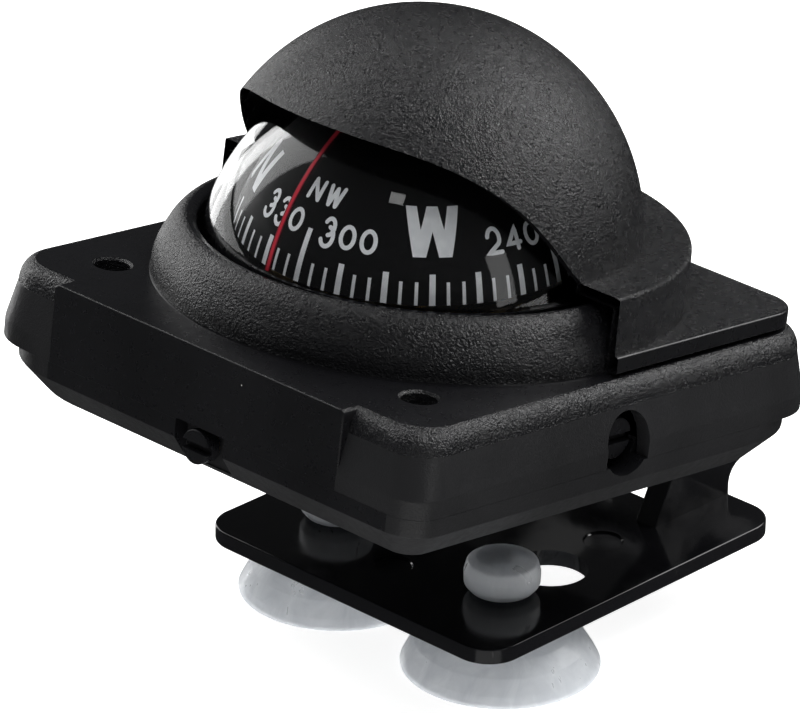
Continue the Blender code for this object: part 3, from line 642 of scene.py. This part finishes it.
def make_lower_housing():
    hinge = HOUSING.inverted() @ TILT_AXIS
    rim = PARTING_Z - SEAM
    outside = [(37.0, FLOOR_Z), (38.2, FLOOR_Z, 0.4), (HALF, BEVEL_Z, 0.4), (HALF, rim), (40.2, rim)]
    levels = []
    for half, z in rounded(outside):
        down = min(1.0, max(0.0, (z - BEVEL_Z) / (FLOOR_Z - BEVEL_Z)))
        near = FRONT_CORNER + (BEVEL_CORNER - FRONT_CORNER) * down
        levels.append((square_outline(half, LOWER_CORNER, near), z))
    for half, z in ((38.2, rim), (38.2, -9.0), (36.9, -9.0), (36.9, -13.9), (35.6, -15.9)):
        levels.append((square_outline(half, LOWER_CORNER - (HALF - half)), z))
    tray = loft("lower_housing", levels, HOUSING)
    solids = []
    for x, y in CORNER_HOLES:
        solids.append(rod("sleeve", 3.5, -16.5, -2.5, HOUSING @ spot(x, y)))
    for x, y in CASE_SCREWS:
        solids.append(rod("seat", 3.2, -16.5, -14.8, HOUSING @ spot(x, y), 32))
    for side in (-1, 1):
        low, high = sorted((side * LUG_X[0], side * LUG_X[1]))
        solids.append(slab("lug", lug_outline(), low, high, HOUSING @ SIDEWAYS, 0.3))
    join(tray, *solids)
    holes = []
    for x, y in CORNER_HOLES:
        holes.append(rod("sleeve_hole", MOUNT_HOLE_R, -30, 9, HOUSING @ spot(x, y)))
    for x, y in CASE_SCREWS:
        holes.append(rod("case_hole", 1.4, -30, -9, HOUSING @ spot(x, y), 24))
        holes.append(rod("case_recess", 2.7, -30, -15.9, HOUSING @ spot(x, y), 40))
    lug_bore = pointing(X_AXIS, (0, hinge.y, hinge.z))
    holes.append(rod("lug_bore", HINGE_BOLT_R + 0.3, -30, 30, HOUSING @ lug_bore))
    side_port = pointing(X_AXIS, (0, 0, SHAFT_EW[2]))
    holes.append(rod("side_port", 4.4, 30, 50, HOUSING @ side_port))
    front_port = pointing(-Y_AXIS, (SHAFT_NS_X, 0, SHAFT_NS[2]))
    holes.append(rod("front_port", SHAFT_NS[0] + 0.3, 30, 50, HOUSING @ front_port))
    low, high = (POCKET_X[0], -50, -16.3), (POCKET_X[1], -38.5, -11.0)
    holes.append(block("front_pocket", low, high, HOUSING))
    cut(tray, *holes)

    def pick(centre, normal):
        """The bevel gets a lighter copy of the fine grain, painted light for the floor it reflects; the walls
        beside the pad the fine grain.
        """
        if -0.9 < normal.z < -0.2:
            return 2
        on_pad = abs(centre.x) < PAD_HALF + 0.1 and centre.y < -39.2
        on_wall = max(abs(centre.x), abs(centre.y)) > 36.5 or centre.xy.length > 48
        return 1 if abs(normal.z) < 0.2 and on_wall and not on_pad else 0

    looks = [LOOKS["black_satin"], LOOKS["black_fine"], LOOKS["black_bevel_painted_light"]]
    finish_piece(tray, "housing", looks, ["lower_housing"], 32, pick, HOUSING)


def make_case_screws():
    """Pan heads with a cross recess, under the case."""
    for i, (x, y) in enumerate(CASE_SCREWS):
        name = f"case_screw_{i + 1}"
        profile = rounded([(0, -16.95), (1.6, -16.95), (2.4, -16.6, 0.3), (2.4, -16.2), (0.8, -16.2)])
        screw = lathe(name + "_visual", profile + [(0.8, -6.2), (0, -6.0)], HOUSING @ spot(x, y), 40)
        bars = []
        for turn in (20, 110):
            place = HOUSING @ spot(x, y) @ Matrix.Rotation(math.radians(turn), 4, "Z")
            bars.append(block("recess", (-1.3, -0.28, -18), (1.3, 0.28, -16.5), place))
        cut(screw, *bars)
        finish_piece(screw, "housing", LOOKS["steel"], [name])


# ---------------------------------------------------------------- dome, card and hood

def make_dome():
    inner_r = DOME_R - DOME_SKIN
    outside = arc(DOME_R, (0, DOME_Z), 90, 0, 40)
    inside = arc(inner_r, (0, DOME_Z), 0, 90, 40)
    profile = [(0.0, DOME_Z + DOME_R)] + outside[1:]
    profile += [(DOME_R, 2.3), (32.8, 2.3), (32.8, 0.3), (inner_r, 0.3)]
    profile += inside[:-1] + [(0.0, DOME_Z + inner_r)]
    dome = lathe("dome_clear", profile, HOUSING, 144)
    finish_piece(dome, "housing", LOOKS["clear_dome"], ["dome"], 40)


def make_lubber_line():
    """A red line on the dome's front, narrower towards the top."""
    bm = bmesh.new()
    rings = []
    for step in range(61):
        part = step / 60
        angle = math.radians(11.5 + 73.0 * part)
        half = 0.42 - 0.16 * part
        ring = []
        for x, lift in ((-half, 0.03), (-half, 0.10), (0.0, 0.14), (half, 0.10), (half, 0.03)):
            radius = DOME_R + lift
            y, z = -radius * math.cos(angle), DOME_Z + radius * math.sin(angle)
            ring.append(bm.verts.new((x, y, z)))
        rings.append(ring)
    join_rings(bm, rings, False)
    bm.faces.new(rings[0])
    bm.faces.new(rings[-1])
    line = make_piece("lubber_line_visual", bm, HOUSING)
    finish_piece(line, "housing", LOOKS["lubber_red"], ["lubber_line"])


def make_card():
    """The card's shell: a spherical band under a shallow cap, and a hub."""
    inner_r = CARD_R - 0.4
    top_r, top_z = arc(CARD_R, (0, 0), CARD_CAP, CARD_CAP, 1)[0]
    edge = math.degrees(math.asin(CARD_EDGE_Z / CARD_R))
    inner_top = math.degrees(math.asin((CARD_TOP_Z - 0.5) / inner_r))
    inner_edge = math.degrees(math.asin(CARD_EDGE_Z / inner_r))
    cap = [(0, top_z + 0.75), (0.4 * top_r, top_z + 0.7), (0.75 * top_r, top_z + 0.4)]
    profile = smoothed(cap + arc(CARD_R, (0, 0), CARD_CAP, edge, 28), 1)
    profile += arc(inner_r, (0, 0), inner_edge, inner_top, 20)
    profile += [(1.9, CARD_TOP_Z - 0.3), (1.9, 8.6), (1.4, 8.6), (1.4, 10.6), (0, 10.6)]
    card = lathe("card_shell", profile, CARD, 144)
    finish_piece(card, "card", LOOKS["card_black"], ["compass_card"], 40)


# Letters as paths in a square of side 1: centre lines for the round ones, and for the heavy
# ones bars from a foot to a top with their widths. The heavy E's arms are added in make_marks.
ROUND_GLYPHS = {
    "0": [arc(0.5, (0.5, 0.5), 0, 360, 40)],
    "1": [[(0.15, 0.78), (0.55, 1.0), (0.55, 0.0)]],
    "2": [arc(0.46, (0.49, 0.70), 168, -38, 18)[:-1] + [(0.80, 0.40), (0.0, 0.0), (1.0, 0.0)]],
    "3": [arc(0.40, (0.45, 0.755), 152, -85, 16), arc(0.47, (0.47, 0.28), 85, -155, 18)],
    "4": [[(0.76, 0.0), (0.76, 1.0), (0.0, 0.27), (1.0, 0.27)]],
    "5": [[(0.92, 1.0), (0.22, 1.0), (0.12, 0.52)] + arc(0.47, (0.49, 0.32), 118, -150, 18)],
    "6": [arc(0.47, (0.5, 0.31), 0, 360, 30), [(0.03, 0.31), (0.08, 0.58), (0.28, 0.84), (0.66, 1.0)]],
    "N": [[(0.0, 0.0), (0.0, 1.0)], [(0.0, 1.0), (0.9, 0.0)], [(0.9, 0.0), (0.9, 1.0)]],
    "E": [[(0.82, 1.0), (0.0, 1.0)], [(0.0, 1.0), (0.0, 0.0)], [(0.0, 0.0), (0.82, 0.0)],
          [(0.0, 0.52), (0.7, 0.52)]],
    "S": [arc(0.44, (0.46, 0.75), 25, 262, 18) + arc(0.46, (0.46, 0.27), 78, -160, 18)],
    "W": [[(0.0, 1.0), (0.30, 0.0)], [(0.30, 0.0), (0.58, 0.92)], [(0.58, 0.92), (0.86, 0.0)],
          [(0.86, 0.0), (1.16, 1.0)]],
}
BLOCK_GLYPHS = {
    "N": [((0, 0), (0, 1), 0.2), ((0.62, 0), (0.62, 1), 0.2), ((0.62, 0), (0, 1), 0.22)],
    "E": [((0, 0), (0, 1), 0.2)],
    "W": [((0.21, 0), (0, 1), 0.235), ((0.21, 0), (0.445, 1), 0.235),
          ((0.68, 0), (0.445, 1), 0.235), ((0.68, 0), (0.89, 1), 0.235)],
}


class Marks:
    """White marks on the card's spherical face, gathered into one mesh."""

    def __init__(self):
        self.bm = bmesh.new()
        self.layer = 0

    def point(self, heading, height, across, up, lift):
        """A point beside a heading: across is to the reader's right, up above the edge."""
        edge = math.asin(CARD_EDGE_Z / CARD_R)
        middle = edge + height / CARD_R
        turn = across / (CARD_R * math.cos(middle)) - math.radians(heading)
        rise = edge + up / CARD_R
        radius = CARD_R + lift
        level = radius * math.cos(rise)
        return (level * math.sin(turn), -level * math.cos(turn), radius * math.sin(rise))

    def strip(self, heading, height, pairs):
        """A band between two edges, given as pairs of (across, up) points."""
        self.layer += 1
        lift = 0.05 + 0.004 * (self.layer % 5)
        rows = []
        for left, right in pairs:
            row = []
            for part in (0.0, 0.33, 0.67, 1.0):
                across = left[0] + (right[0] - left[0]) * part
                up = left[1] + (right[1] - left[1]) * part
                row.append(self.bm.verts.new(self.point(heading, height, across, up, lift)))
            rows.append(row)
        for first, second in zip(rows, rows[1:]):
            for i in range(3):
                self.bm.faces.new((first[i], first[i + 1], second[i + 1], second[i]))

    def bar(self, heading, height, start, end, width, steps=8):
        """A stroke with level ends, from one point to another."""
        pairs = []
        for step in range(steps + 1):
            part = step / steps
            x = start[0] + (end[0] - start[0]) * part
            y = start[1] + (end[1] - start[1]) * part
            pairs.append(((x - width / 2, y), (x + width / 2, y)))
        self.strip(heading, height, pairs)

    def stroke(self, heading, height, points, width):
        """A stroke with round ends along a path."""
        fine = [Vector(points[0])]
        for first, second in zip(points, points[1:]):
            first, second = Vector(first), Vector(second)
            parts = max(1, round((second - first).length / 0.5))
            fine += [first + (second - first) * (k + 1) / parts for k in range(parts)]
        ahead = (fine[0] - fine[1]).normalized()
        behind = (fine[-1] - fine[-2]).normalized()
        closed = (fine[0] - fine[-1]).length < 1e-6
        path = []
        for degrees in () if closed else (85, 60, 30):
            angle = math.radians(degrees)
            reach = ahead * (width / 2 * math.sin(angle))
            path.append((fine[0] + reach, -ahead, width / 2 * math.cos(angle)))
        for i, here in enumerate(fine):
            before = fine[i - 1] if i else (fine[-2] if closed else here + ahead)
            after = fine[i + 1] if i + 1 < len(fine) else (fine[1] if closed else here + behind)
            first, second = (here - before).normalized(), (after - here).normalized()
            along = (first + second).normalized()
            path.append((here, along, width / 2 / max(0.6, along.dot(second))))
        for degrees in () if closed else (30, 60, 85):
            angle = math.radians(degrees)
            reach = behind * (width / 2 * math.sin(angle))
            path.append((fine[-1] + reach, behind, width / 2 * math.cos(angle)))
        pairs = []
        for here, along, half in path:
            side = Vector((-along.y, along.x)) * half
            pairs.append((tuple(here + side), tuple(here - side)))
        self.strip(heading, height, pairs)

    def text(self, heading, letters, middle, tall, wide, gap, width):
        """Round stroke letters, centred on a heading; middle is their height on the band."""
        widths = [wide * max(x for line in ROUND_GLYPHS[c] for x, _ in line) for c in letters]
        across = -(sum(widths) + gap * (len(letters) - 1)) / 2
        base = middle - tall / 2
        for letter, size in zip(letters, widths):
            for line in ROUND_GLYPHS[letter]:
                inner = tall - width
                points = [(across + wide * x, base + width / 2 + inner * y) for x, y in line]
                self.stroke(heading, middle, points, width)
            across += size + gap


def make_marks():
    marks = Marks()
    for heading in range(0, 360, 5):
        if heading % 90 == 45:
            tall, width = 7.3, 0.80
        elif heading % 15 == 0:
            tall, width = 4.1, 0.82
        else:
            tall, width = 3.05, 0.46
        marks.bar(heading, tall / 2, (0, 0.0), (0, tall), width)
    for heading in (30, 60, 120, 150, 210, 240, 300, 330):
        marks.text(heading, f"{heading:03d}", 7.6, 3.35, 1.85, 1.1, 0.58)
    for heading, letters in ((45, "NE"), (135, "SE"), (225, "SW"), (315, "NW")):
        marks.text(heading, letters, 12.3, 3.15, 1.85, 1.2, 0.58)
    tall, base = 6.75, 6.3
    middle = base + tall / 2
    for heading, letter in ((0, "N"), (90, "E"), (270, "W")):
        bars = BLOCK_GLYPHS[letter]
        right = max(max(start[0], end[0]) for start, end, _ in bars)
        for start, end, width in bars:
            first = ((start[0] - right / 2) * tall, base + start[1] * tall)
            last = ((end[0] - right / 2) * tall, base + end[1] * tall)
            marks.bar(heading, middle, first, last, width * tall, 16)
    for row, shift in ((0.0, 0.0), (0.4, -0.3), (0.8, 0.0)):
        low, high = base + row * tall, base + (row + 0.2) * tall
        marks.bar(90, middle, (1.45 + shift, low), (1.45 + shift, high), 4.2 + 2 * shift, 6)
    curve = arc(0.265, (0.27, 0.635), 15, 262, 18) + arc(0.285, (0.27, 0.285), 82, -165, 18)
    points = [((x - 0.27) * tall, base + y * tall) for x, y in curve]
    marks.stroke(180, middle, points, 0.2 * tall)
    piece = make_piece("card_markings", marks.bm, CARD)
    finish_piece(piece, "card", LOOKS["white_paint"])


def make_hood():
    start = math.degrees(math.asin((HOOD_BOSS_Z - HOOD_Z) / HOOD_R))
    inner_r = HOOD_R - HOOD_WALL
    low, high = HOOD_PLATE_Z
    profile = [(0, HOOD_Z + HOOD_R)] + arc(HOOD_R, (0, HOOD_Z), 90, start + 1.2, 44)[1:]
    boss = [profile[-1], (30.25, HOOD_BOSS_Z), (36.75, HOOD_BOSS_Z, 0.55), (37.0, low + 0.2)]
    profile += rounded(boss)[1:]
    profile += [(35.75, low + 0.2), (35.75, HOOD_BOSS_Z - 1.6)]
    profile += arc(inner_r, (0, HOOD_Z), 0, 90, 44)[:-1] + [(0, HOOD_Z + inner_r)]
    hood = lathe("hood_visual", profile, HOUSING, 144)
    outline = square_outline(HOOD_PLATE_HALF, TOP_CORNER)
    plate = slab("hood_plate", outline, low, high, HOUSING, 0.35)
    cut(plate, rod("plate_hole", 36.4, -3, 9, HOUSING, 144))
    pegs = []
    for x in (-MOUNT_PITCH, MOUNT_PITCH):
        peg = rounded([(0, -3.0), (2.1, -3.0, 0.4), (2.1, 1.5), (0, 1.5)])
        pegs.append(lathe("peg", peg, HOUSING @ spot(x, MOUNT_PITCH), 40))
    join(hood, plate, *pegs)
    brow = [(-0.5, HOOD_BOSS_Z - 0.25), (-2.6, 12.6), (-5.6, 16.3), (-9.2, 20.6), (-12.8, 23.7)]
    brow = smoothed(brow + [(-16.8, 26.1), (-21.0, 27.7), (-30.0, 29.6)], 2)
    front = [(-60, 40), (-60, -9), (-0.5, -9)] + brow + [(-30.0, 40)]
    cut(hood, prism("hood_opening", front, -50, 50, HOUSING @ SIDEWAYS))

    def pick(centre, normal):
        """1 on the smooth faces: the plate, the cut through the boss and the dome's inside."""
        on_plate = centre.z < high + 0.1 and centre.xy.length > 37.05
        cut_face = normal.y < -0.9 and centre.z < HOOD_BOSS_Z
        inside = centre.z > HOOD_BOSS_Z and (centre - Vector((0, 0, HOOD_Z))).length < HOOD_R - 0.2
        return 1 if on_plate or cut_face or inside or centre.z < low + 0.1 else 0

    looks = [LOOKS["black_textured"], LOOKS["black_satin"]]
    finish_piece(hood, "hood", looks, ["hood"], 32, pick, HOUSING)


# ---------------------------------------------------------------- compensators and hinge

def make_shaft(tag, radius, head_r, near, far, head_length, slot_turn):
    """A compensator's shaft with a slotted head."""
    near, far = Vector(near), Vector(far)
    along = near - far
    length = along.length
    neck = length - head_length
    profile = [(0, 0), (radius - 0.3, 0), (radius, 0.3), (radius, neck)]
    profile += rounded([(radius, neck), (head_r, neck), (head_r, length, 0.35), (0, length)])[1:]
    place = HOUSING @ pointing(along.normalized(), far)
    shaft = lathe(f"compensator_{tag}_visual", profile, place, 56)
    middle = -far.dot(along.normalized())
    tools = []
    for side in (-1, 1):
        bore = pointing(X_AXIS, (0, 0, middle + 10.5 * side))
        bore = Matrix.Rotation(math.radians(slot_turn + 90), 4, "Z") @ bore
        tools.append(rod("magnet_bore", 1.4, -5, 5, place @ bore, 24))
    turn = Matrix.Rotation(math.radians(slot_turn), 4, "Z")
    low, high = (-4, -0.62, length - 1.1), (4, 0.62, length + 1)
    tools.append(block("head_slot", low, high, place @ turn))
    cut(shaft, *tools)
    node = f"compensator_shaft_{tag}"
    looks = [LOOKS["brass"], LOOKS["black_satin"]]

    def pick(centre, normal):
        return 1 if centre.z > neck - 0.05 else 0

    body = f"compensator_{tag}"
    finish_piece(shaft, body, looks, [node], 32, pick, place)


def make_compensator_shafts():
    radius, head_r, z = SHAFT_EW
    make_shaft("ew", radius, head_r, (38.6, 0, z), (-14, 0, z), 2.8, 90)
    radius, head_r, z = SHAFT_NS
    make_shaft("ns", radius, head_r, (SHAFT_NS_X, -41.1, z), (SHAFT_NS_X, 14, z), 2.3, 0)


def make_hinge_hardware():
    outer = ARM_X[1] + 0.3
    place = BRACKET @ pointing(X_AXIS, (0, HINGE_Y, HINGE_Z))
    head = rounded([(0, -outer - 2.6), (3.0, -outer - 2.6, 0.8), (4.4, -outer - 1.4, 0.6),
                    (4.4, -outer, 0.2), (HINGE_BOLT_R, -outer)])
    tail = rounded([(HINGE_BOLT_R, -outer), (HINGE_BOLT_R, outer + 3.6, 0.5), (0, outer + 3.6)])
    bolt = lathe("hinge_bolt_visual", head + tail[1:], place, 56)
    bars = []
    for turn in (35, 125):
        cross = place @ Matrix.Rotation(math.radians(turn), 4, "Z")
        bars.append(block("recess", (-2.0, -0.42, -outer - 4), (2.0, 0.42, -outer - 1.4), cross))
    cut(bolt, *bars)
    finish_piece(bolt, "bracket", LOOKS["steel"], ["hinge_bolt"])
    hexagon = [(4.6 * math.cos(math.radians(a)), 4.6 * math.sin(math.radians(a)))
               for a in range(0, 360, 60)]
    nut = slab("hinge_nut_visual", hexagon, outer, outer + 3.0, place, 0.3)
    cut(nut, rod("nut_bore", HINGE_BOLT_R + 0.3, 0, 40, place))
    finish_piece(nut, "bracket", LOOKS["steel"], ["hinge_nut"])
    near, far = LUG_X[1] + 0.3, ARM_X[0] - 0.3
    for name, side in (("hinge_washer_left", -1), ("hinge_washer_right", 1)):
        bore = HINGE_BOLT_R + 0.3
        section = [(6.0, near, 0.2), (6.0, far, 0.2), (bore, far, 0.1), (bore, near, 0.1)]
        section = [(r, side * z) for r, z in rounded(section, 3, closed=True)]
        washer = lathe(name + "_visual", section, place, 56, closed=True)
        finish_piece(washer, "bracket", LOOKS["seal_rubber"], [name])


# ---------------------------------------------------------------- bracket and cups

def keyhole(side):
    slot_r, wide_r, wide_y = 2.6, 5.35, CUP_XY[1] + 9.6
    reach = math.degrees(math.asin(slot_r / wide_r))
    points = arc(slot_r, CUP_XY, 180, 360, 20)
    points += arc(wide_r, (CUP_XY[0], wide_y), reach - 90, 270 - reach, 48)
    return prism("keyhole", [(side * x, y) for x, y in points], -9, 9, BRACKET)


def arm_outline():
    """An arm's side: a sloped front edge, a round ear and a filleted rear edge."""
    foot_front, foot_rear, fillet = 31.1, 46.7, 3.2
    root = -PLATE_T / 2
    to_ear = Vector((HINGE_Y - foot_front, HINGE_Z))
    slope = math.degrees(math.atan2(to_ear.y, to_ear.x) + math.asin(EAR_R / to_ear.length))
    fillet_x = foot_rear + fillet
    drop = math.sqrt((EAR_R + fillet) ** 2 - (fillet_x - HINGE_Y) ** 2)
    fillet_z = HINGE_Z - drop
    meet = math.degrees(math.atan2(drop, HINGE_Y - fillet_x))
    points = [(foot_rear, root), (foot_rear, fillet_z)]
    points += arc(fillet, (fillet_x, fillet_z), 180, meet, 10)[1:]
    points += arc(EAR_R, (HINGE_Y, HINGE_Z), meet - 180, slope + 90, 48)[1:]
    return points + [(foot_front, 0.0), (foot_front, root)]


def make_bracket():
    low, high = PLATE_Y
    middle, half_y = (low + high) / 2, (high - low) / 2
    outline = []
    for quarter, (sign_x, sign_y) in enumerate(((1, 1), (-1, 1), (-1, -1), (1, -1))):
        x = sign_x * (PLATE_HALF_X - PLATE_CORNER)
        y = middle + sign_y * (half_y - PLATE_CORNER)
        outline += arc(PLATE_CORNER, (x, y), 90 * quarter, 90 * quarter + 90, 14)
    plate = slab("bracket_visual", outline, -PLATE_T, 0, BRACKET, 0.28)
    arms = []
    for side in (-1, 1):
        near, far = sorted((side * ARM_X[0], side * ARM_X[1]))
        arms.append(slab("arm", arm_outline(), near, far, BRACKET @ SIDEWAYS, 0.25))
    join(plate, *arms)
    holes = [keyhole(-1), keyhole(1)]
    place = BRACKET @ pointing(X_AXIS, (0, HINGE_Y, HINGE_Z))
    holes.append(rod("ear_holes", HINGE_BOLT_R + 0.3, -30, 30, place))
    window = rounded([(-12.5, 37.0, 0.8), (12.5, 37.0, 0.8), (12.5, 43.4, 0.8), (-12.5, 43.4, 0.8)],
                     closed=True)
    holes.append(prism("window", window, -9, 9, BRACKET))
    mark = [(0, -0.3), (2.6, -0.3), (2.8, -0.16), (2.8, -0.05), (2.95, 0.03), (2.95, 4), (0, 4)]
    for x, y in ((0.0, -2.8), (-15.2, 23.3), (15.2, 23.3)):
        holes.append(lathe("round_mark", mark, BRACKET @ spot(x, y), 64))
    cut(plate, *holes)
    finish_piece(plate, "bracket", LOOKS["black_gloss"], ["bracket"], 32)


def make_cups():
    head = [(0, 5.3), (3.6, 5.3, 0.6), (4.9, 4.7, 0.7), (5.3, 3.2, 0.8), (5.25, 1.5, 0.8), (4.4, 0.45, 0.5)]
    head = rounded(head + [(3.4, 0.35)])[:-1]
    neck = [(2.3, 0.35, 0.2), (2.3, -2.5, 0.3), (4.4, -3.0, 0.4), (7.6, -4.0, 0.8), (10.0, -5.5, 0.8)]
    neck += [(11.9, -7.3, 0.8), (13.2, -9.4, 0.5), (13.82, CUP_RIM_Z + 0.25), (13.75, CUP_RIM_Z)]
    neck += [(12.9, CUP_RIM_Z)]
    under = smoothed([(12.9, CUP_RIM_Z), (12.0, -9.5), (10.0, -7.7), (6.5, -6.1), (0, -5.4)], 2)
    profile = head + rounded([(3.4, 0.35)] + neck) + under[1:]
    for name, side in (("suction_cup_left", -1), ("suction_cup_right", 1)):
        place = BRACKET @ spot(side * CUP_XY[0], CUP_XY[1])
        cup = lathe(name + "_visual", profile, place, 96)
        finish_piece(cup, "bracket", LOOKS["clear_vinyl"], [name], 50)


# ---------------------------------------------------------------- the rest of the CAD

def dress_cad_nodes():
    """Gives each CAD solid that stays its procedural material, by its record slot."""
    slots = {row["node"]: row["material_slot"] for row in frame["record"]["subparts"]}
    for name, node in frame["nodes"].items():
        node.data.materials.clear()
        node.data.materials.append(LOOKS[slots[name]])


# ---------------------------------------------------------------- studio

COMPASS_MIDDLE = Vector((0, 0, 0.05))
LIGHT_DISTANCE = 0.8      # metres, as are the lights' widths and heights


def direction(azimuth, elevation):
    turn, rise = math.radians(azimuth), math.radians(elevation)
    return Vector((math.sin(turn) * math.cos(rise), -math.cos(turn) * math.cos(rise), math.sin(rise)))


def softbox(name, azimuth, elevation, width, height, strength):
    """A soft rectangular light aimed at the compass; strength is its radiance."""
    light = bpy.data.lights.new(name, "AREA")
    light.shape = "RECTANGLE"
    light.size = width
    light.size_y = height
    light.energy = strength * width * height * math.pi
    lamp = bpy.data.objects.new(name, light)
    bpy.context.scene.collection.objects.link(lamp)
    outwards = direction(azimuth, elevation)
    lamp.location = COMPASS_MIDDLE + outwards * LIGHT_DISTANCE
    lamp.rotation_euler = outwards.to_track_quat("Z", "Y").to_euler()


def make_studio():
    scene = bpy.context.scene
    scene.view_settings.view_transform = "Standard"
    world = bpy.data.worlds.new("studio")
    world.use_nodes = True
    background = world.node_tree.nodes["Background"]
    background.inputs["Color"].default_value = (0.96, 0.98, 1.0, 1)
    background.inputs["Strength"].default_value = 0.035
    scene.world = world
    softbox("left_box", -98, 14, 0.17, 1.2, 2.4)
    softbox("left_fill", -86, 30, 0.42, 0.8, 1.2)
    softbox("low_left", -112, -10, 0.35, 0.3, 0.7)
    softbox("floor_glow", 45, -28, 1.0, 0.4, 0.5)
    softbox("rear_box", 160, 38, 0.5, 0.5, 5.0)
    softbox("right_box", 92, 16, 0.16, 0.36, 0.9)
    softbox("window", 24, 63, 0.10, 0.08, 1.8)
    sun = bpy.data.lights.new("overhead", "SUN")
    sun.energy = 2.6
    sun.angle = math.radians(70)
    overhead = bpy.data.objects.new("overhead", sun)
    scene.collection.objects.link(overhead)
    overhead.visible_glossy = False
    overhead.visible_transmission = False
    bm = bmesh.new()
    bmesh.ops.create_grid(bm, x_segments=8, y_segments=8, size=30.0)
    floor = make_piece("floor", bm, Matrix.Identity(4))
    graph = Graph("pale_floor", roughness=0.9)
    tone = graph.ramp(graph.noise(3, 2), 0.3, 0.7)
    graph.feed("Base Color", graph.mix(tone, (0.90, 0.90, 0.90), (0.93, 0.93, 0.93)))
    graph.feed("Specular IOR Level", 0.0)
    graph.feed("Emission Color", (1.0, 1.0, 1.0, 1.0))
    graph.feed("Emission Strength", 0.9)
    floor.data.materials.append(graph.material)
    floor.visible_glossy = False
    floor.visible_shadow = False


def make_camera():
    azimuth, elevation, roll = 43.618, 25.559, 0.944
    target = Vector((-2.522, -5.0, 40.603)) * MM
    back = direction(azimuth, elevation)
    right = (-back).cross(Z_AXIS).normalized()
    up = right.cross(-back)
    turn = math.radians(roll)
    level, rise = math.cos(turn), math.sin(turn)
    right, up = right * level + up * rise, up * level - right * rise
    camera = bpy.data.cameras.new("camera")
    camera.lens = 285.48
    camera.sensor_width = 36.0
    camera.clip_start = 0.05
    eye = bpy.data.objects.new("camera", camera)
    bpy.context.scene.collection.objects.link(eye)
    place = Matrix.Identity(4)
    for column, axis in enumerate((right, up, back)):
        place.col[column] = (*axis, 0.0)
    place.translation = target + back * 861.696 * MM
    eye.matrix_world = place
    bpy.context.scene.camera = eye


dress_cad_nodes()
make_upper_housing()
make_collar()
make_lower_housing()
make_case_screws()
make_dome()
make_lubber_line()
make_card()
make_marks()
make_hood()
make_compensator_shafts()
make_hinge_hardware()
make_bracket()
make_cups()
make_studio()
make_camera()
